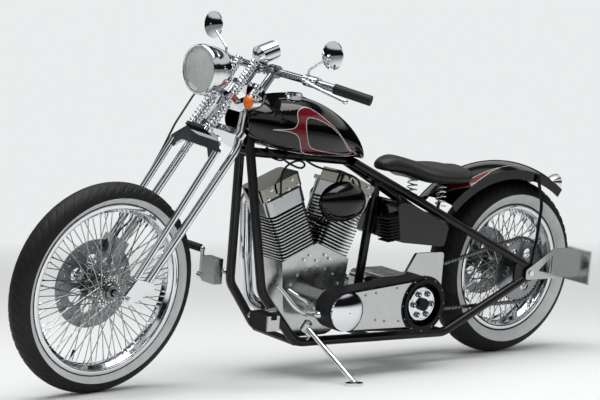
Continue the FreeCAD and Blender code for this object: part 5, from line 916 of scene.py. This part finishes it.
def link_plates(tall, y):
    """Two waisted plates from pin to pin, one on each side of the chain."""
    half, wall, edge = tall / 2, 1.3, []
    for middle, start, waist in ((0, math.pi / 2, -0.72), (PITCH, -math.pi / 2, 0.72)):
        edge += [tuple(on_wheel((middle, 0), half, start + math.pi * k / 8)) for k in range(9)]
        edge.append((PITCH / 2, half * waist))
    return joined([([(x * MM, (place + e * wall / 2) * MM, z * MM) for e in (-1, 1) for x, z in edge],
                    walled(len(edge))) for place in (-y, y)])


def barrel(length, radius, sides):
    """A pin or roller across the chain, from millimetres."""
    return rod_shape((0, -length / 2 * MM, 0), (0, length / 2 * MM, 0), radius * MM, sides)


line = belt_line(DRIVE, DRIVEN, PITCH)
pins = []
for spot, after in zip(line, line[1:] + line[:1]):
    heading = math.atan2(after.y - spot.y, after.x - spot.x)
    pins.append((Vector((spot.x * MM, CHAIN_Y * MM, spot.y * MM)), (0, -heading, 0)))
link = set_on("chain_outer_plates", link_plates(12.6, 6.6), pins[1::2], CHAIN_STEEL)
set_on("chain_inner_plates", link_plates(12.2, 4.9), pins[::2], CHAIN_STEEL)
set_on("chain_pins", barrel(15.8, 2.4, 10), pins, STEEL)
set_on("chain_rollers", barrel(8.4, 4.6, 12), pins, STEEL)
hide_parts("drive_chain")
print(len(line), "chain links")

# %% [markdown]
# Bolts hold the plates and covers. A hexagon head on a thin washer is one small mesh, and the
# scatter tree sets it wherever one belongs, turned to face out of its surface.
# %% Bolts
UNTURNED, COVER_SEAM = (0, 0, 0), 427


def bolt_shape(across, tall, washer=True):
    """Hexagon head, with a washer or without, standing out along -Y."""
    points = [round_y(share * across * 1.1, y, math.pi * k / 3)
              for y, share in ((0, 0.5), (-tall * 0.8, 0.5), (-tall, 0.42)) for k in range(6)]
    faces = [(a + k, a + (k + 1) % 6, a + 6 + (k + 1) % 6, a + 6 + k) for a in (0, 6) for k in range(6)]
    shapes = [(points, faces + [tuple(range(6)), tuple(range(12, 18))])]
    if washer:
        shapes.append(rod_shape((0, 0.6 * MM, 0), (0, -1.0 * MM, 0), across * 0.68 * MM, 14))
    return joined(shapes)


def in_side_view(*pairs):
    """Spots given by their x and z in millimetres."""
    return [Vector((x * MM, 0, z * MM)) for x, z in pairs]


def found_left(node, spots):
    """Where rays from the machine's left meet a node's face, if it faces left there."""
    surface, met = surface_of(node), []
    for spot in spots:
        hit, normal, _, _ = surface.ray_cast(Vector((spot.x, -0.5, spot.z)), Vector((0, 1, 0)))
        if hit is not None and abs(normal.y) > 0.9:
            met.append((hit, UNTURNED))
    return met


disc_spots = [(round_y(36, 60, 2 * math.pi * (k + 0.5) / 7), (0, 0, math.pi)) for k in range(7)]
set_on("front_disc_bolts", bolt_shape(9, 4.5), disc_spots, CHROME, "front_wheel", FRONT_WHEEL)
cover_spots = []
for slant in (-SLANT, SLANT):
    up, level = [Vector((math.sin(a), 0, math.cos(a))) for a in (slant, slant + math.pi / 2)]
    cover_spots += [CRANK + up * ((COVER_SEAM + rise) * MM) + level * (shift * MM) for shift, rise in (
        (-64, -14), (-22, -14), (22, -14), (64, -14), (-44, 12), (44, 12))]
for name, node, spots, shape, metal in (
        ("guard_bolts", "belt_guard", in_side_view((58, 323), (150, 335), (64, 229), (168, 218), (12, 318),
                                                   (104, 222)), bolt_shape(8, 2.2, False), STEEL),
        ("case_bolts", "engine_case", [CRANK + round_y(118, 0, math.radians(a)) for a in range(28, 168, 20)]
         + in_side_view((-118, 410), (-96, 424), (-30, 424), (-10, 410), (-66, 405)),
         bolt_shape(10, 6), CHROME),
        ("cover_bolts", "rocker_covers", cover_spots, bolt_shape(9, 6), CHROME)):
    met = found_left(node, spots)
    set_on(name, shape, met, metal)
    print(name, len(met))

# %% [markdown]
# The dry clutch runs open: six small coils press a chromed plate into the basket, and each is held
# by a bolt. The coil tree winds them, and the plate is turned on a lathe with a groove near its rim.
# %% Clutch
CLUTCH = CHASSIS @ Matrix.Translation((280 * MM, 0, 268 * MM))
COIL_CIRCLE, RING_CIRCLE = (40.8, -240), (93, -246)  # radius and Y
PLATE_EDGE = [(0, -236), (57, -236), (59, -237.5), (59, -239.5), (56, -241), (52, -241), (51, -240),
              (48, -240), (47, -241), (20, -241), (17, -243), (12, -244.5), (0, -244.5)]
piece("clutch_plate", lathe(PLATE_EDGE, 72, False), "frame", [CHROME], CLUTCH, angle=25)
spots = [round_y(*COIL_CIRCLE, math.radians(turn)) for turn in range(0, 360, 60)]
for number, spot in enumerate(spots):
    place = CLUTCH @ Matrix.Translation(spot) @ Matrix.Rotation(math.pi / 2, 4, "X")
    grown(f"clutch_coil_{number + 1}", COIL, "frame", place, Turns=3.0, Radius=8.6 * MM,
          Length=7.5 * MM, Wire=1.5 * MM, Finish=STEEL)
set_on("clutch_bolts", bolt_shape(7, 10), [(spot, UNTURNED) for spot in spots], CHROME, "frame", CLUTCH)
ring_spots = [(round_y(*RING_CIRCLE, math.radians(turn)), UNTURNED) for turn in range(0, 360, 30)]
set_on("clutch_ring_bolts", bolt_shape(5.5, 3, False), ring_spots, STEEL, "frame", CLUTCH)
print("clutch:", len(spots), "coils and", len(ring_spots), "ring bolts")

# %% [markdown]
# A lamp's glass is held by a rolled chrome ring, and its shape catches a bright line all round. The
# headlamp has a large one and each turn signal a small one, and all three are turned on a lathe.
# %% Lamp rings
QUARTER_TURN = Matrix.Rotation(-math.pi / 2, 4, "Z")
LAMP_EDGE = [(74.5, 1), (74.5, -5), (75.5, -8), (77.5, -9), (79.5, -8), (81.2, -4.5), (81.8, 0),
             (81.9, 9), (80.5, 10.5), (79, 9.5), (79, 1)]
SIGNAL_EDGE = [(23.6, 1), (23.6, -3), (24.4, -4), (25.6, -3), (25.9, 0), (25.9, 5), (24.9, 5.6), (24.5, 1)]
for name, spot, edge, steps in (("headlamp_ring", (-580, 0, 1048), LAMP_EDGE, 96),
                                ("left_signal_ring", (-450, -106, 962), SIGNAL_EDGE, 48),
                                ("right_signal_ring", (-450, 106, 962), SIGNAL_EDGE, 48)):
    place = FORK @ Matrix.Translation(Vector(spot) * MM) @ QUARTER_TURN
    piece(name, lathe(edge, steps), "fork", [CHROME], place, angle=40)
print("three lamp rings")

# %% [markdown]
# Leads and pipes are held at both ends, so each is a bent tube whose middle line is a smooth spline
# through a few points of its route. They leave the tank's tunnel and go to the spark plugs, and a
# plated oil pipe drops in front of the crankcase.
# %% Leads and pipes
ROUTES = (
    ("front_plug_lead", 3.6, GRIP_RUBBER, (
        (-300, -46, 795), (-286, -58, 782), (-248, -62, 763), (-205, -64, 738), (-160, -66, 722),
        (-142, -66, 738), (-170, -64, 754), (-212, -66, 742), (-240, -70, 720), (-250, -76, 690),
        (-246, -76, 650), (-236, -66, 628))),
    ("rear_plug_lead", 3.6, GRIP_RUBBER, (
        (-180, -40, 782), (-150, -56, 758), (-100, -62, 730), (-40, -66, 716), (30, -72, 706),
        (76, -78, 690), (96, -78, 660), (100, -66, 632))),
    ("left_loom", 3.0, GRIP_RUBBER, (
        (-330, -40, 790), (-300, -54, 770), (-268, -58, 756), (-232, -52, 748), (-200, -30, 762),
        (-190, -20, 780))),
    ("oil_pipe_front", 8.0, CHROME, (
        (-258, -112, 338), (-240, -124, 318), (-222, -138, 292), (-206, -152, 268), (-176, -156, 250),
        (-150, -150, 240), (-146, -136, 238))),
    ("oil_pipe_rear", 6.0, CHROME, (
        (-214, -118, 322), (-196, -146, 306), (-172, -158, 292), (-152, -160, 276), (-148, -140, 270))),
)


def bent_pipe(name, radius, material, points):
    """A round pipe or lead along a smooth line."""
    data = bpy.data.curves.new(name, "CURVE")
    data.dimensions, data.use_fill_caps = "3D", True
    data.bevel_depth, data.bevel_resolution, data.resolution_u = radius * MM, 4, 8
    spline = data.splines.new("NURBS")
    spline.points.add(len(points) - 1)
    for spot, p in zip(spline.points, points):
        spot.co = (*(CHASSIS @ (Vector(p) * MM)), 1)
    spline.order_u, spline.use_endpoint_u = 3, True
    maker = placed(name + "_maker", data)
    mesh = frozen(maker, name)
    bpy.data.objects.remove(maker)
    item = show(name, mesh, "frame", 50)
    dress(item, material)
    return item


for route in ROUTES:
    print(bent_pipe(*route).name, "in place")
CAP_EDGE = [(0, -226), (5, -225), (9, -221.5), (11.4, -215), (12, -206), (12, -196), (8, -194),
            (7, -150), (7, -138), (0, -138)]
piece("oil_filter_cap", lathe(CAP_EDGE, 32, False), "frame", [CHROME],
      CHASSIS @ Matrix.Translation((-154 * MM, 0, 254 * MM)), angle=30)
for name, place, turn, root, end in (("front", FRONT_WHEEL, 24, 251, 222),
                                     ("rear", REAR_WHEEL, -35, 208, 180)):
    stem = rod_shape((0, 0, -root * MM), (0, 0, -end * MM), 3.2 * MM, 12)
    cap = rod_shape((0, 0, -(end + 4) * MM), (0, 0, -(end - 8) * MM), 4.4 * MM, 12)
    piece(f"{name}_valve", joined([stem, cap]), f"{name}_wheel", [GRIP_RUBBER],
          place @ Matrix.Rotation(math.radians(turn), 4, "Y"))

# %% [markdown]
# A pale seamless floor and soft light from above and both sides. The paper fades into the backdrop a
# few metres away, so no horizon shows. The two side lamps are kept out of reflections, or they
# would show as white squares in the tank's lacquer.
# %% Floor and lights
HALF_FLOOR, FADE_START, FADE_END = 16.0, 2.0, 7.5
floor_mesh = bpy.data.meshes.new("studio_floor")
floor_mesh.from_pydata([(x * HALF_FLOOR, y * HALF_FLOOR, 0) for x, y in ((-1, -1), (1, -1), (1, 1), (-1, 1))],
                       [], [(0, 1, 2, 3)])
floor = placed("studio_floor", floor_mesh)
paper, tree, shader, point = finish("floor_paper", "#e2e3e3", Roughness=0.85)
reach = add(tree, VECTOR_MATH, {"operation": "LENGTH"}, _0=point)
away = add(tree, RANGE, Value=reach, From_Min=FADE_START, From_Max=FADE_END)
clear = add(tree, "ShaderNodeBsdfTransparent")
fill(tree.nodes["Material Output"], Surface=add(tree, "ShaderNodeMixShader", _0=away, _1=shader, _2=clear))
dress(floor, paper)


def softbox(name, place, aim, width, height, power, mirrored):
    """Large soft lamp that points at the machine, seen in bright metal or not."""
    data = bpy.data.lights.new(name, "AREA")
    data.shape, data.size, data.size_y, data.energy = "RECTANGLE", width, height, power
    lamp = placed(name, data)
    pointed(lamp, place, aim)
    lamp.visible_glossy = mirrored


softbox("overhead", (-0.6, -0.4, 4.2), (0, 0.1, 0.4), 5.0, 3.2, 190, True)
softbox("left_panel", (-4.6, -3.4, 1.9), (0, 0.1, 0.5), 2.4, 2.6, 55, False)
softbox("right_panel", (4.6, -3.2, 2.0), (0.2, 0.1, 0.5), 2.4, 2.8, 50, False)
print("floor and three softboxes")

# %% [markdown]
# The room that bright metal mirrors is light below, dark at eye level and light again above, with
# a dark band between its ceiling panels, which is what makes plating look like metal. The camera
# itself sees a plain pale backdrop.
# %% Studio room
ROOM_LIGHT, BACKDROP_LIGHT = 0.75, 1.0
STOPS = ((0.0, "#9c9e9e"), (0.485, "#9c9e9e"), (0.505, "#151617"), (0.635, "#1b1c1d"), (0.69, "#f2f3f4"),
         (0.79, "#f7f7f8"), (0.83, "#3c3e40"), (0.88, "#505254"), (0.93, "#ffffff"), (1.0, "#ffffff"))
world = bpy.data.worlds.new("studio_room")
bpy.context.scene.world = world
world.use_nodes = True
air = world.node_tree
heading = add(air, "ShaderNodeTexCoord").outputs["Generated"]
height = add(air, "ShaderNodeSeparateXYZ", Vector=heading).outputs["Z"]
share = add(air, RANGE, Value=height, From_Min=-1, From_Max=1)
bands = add(air, "ShaderNodeValToRGB", _0=share)
bands.color_ramp.interpolation = "EASE"
while len(bands.color_ramp.elements) < len(STOPS):
    bands.color_ramp.elements.new(0.5)
for stop, (place, _) in zip(bands.color_ramp.elements, STOPS):
    stop.position = place
for stop, (_, text) in zip(bands.color_ramp.elements, STOPS):
    stop.color = colour(text)
seen = add(air, "ShaderNodeLightPath").outputs["Is Camera Ray"]
lit = add(air, "ShaderNodeBackground", Color=bands, Strength=ROOM_LIGHT)
backdrop = add(air, "ShaderNodeBackground", Color="#eaeded", Strength=BACKDROP_LIGHT)
fill(air.nodes["World Output"], Surface=add(air, "ShaderNodeMixShader", _0=seen, _1=lit, _2=backdrop))
print("room with", len(STOPS), "stops of light and dark")
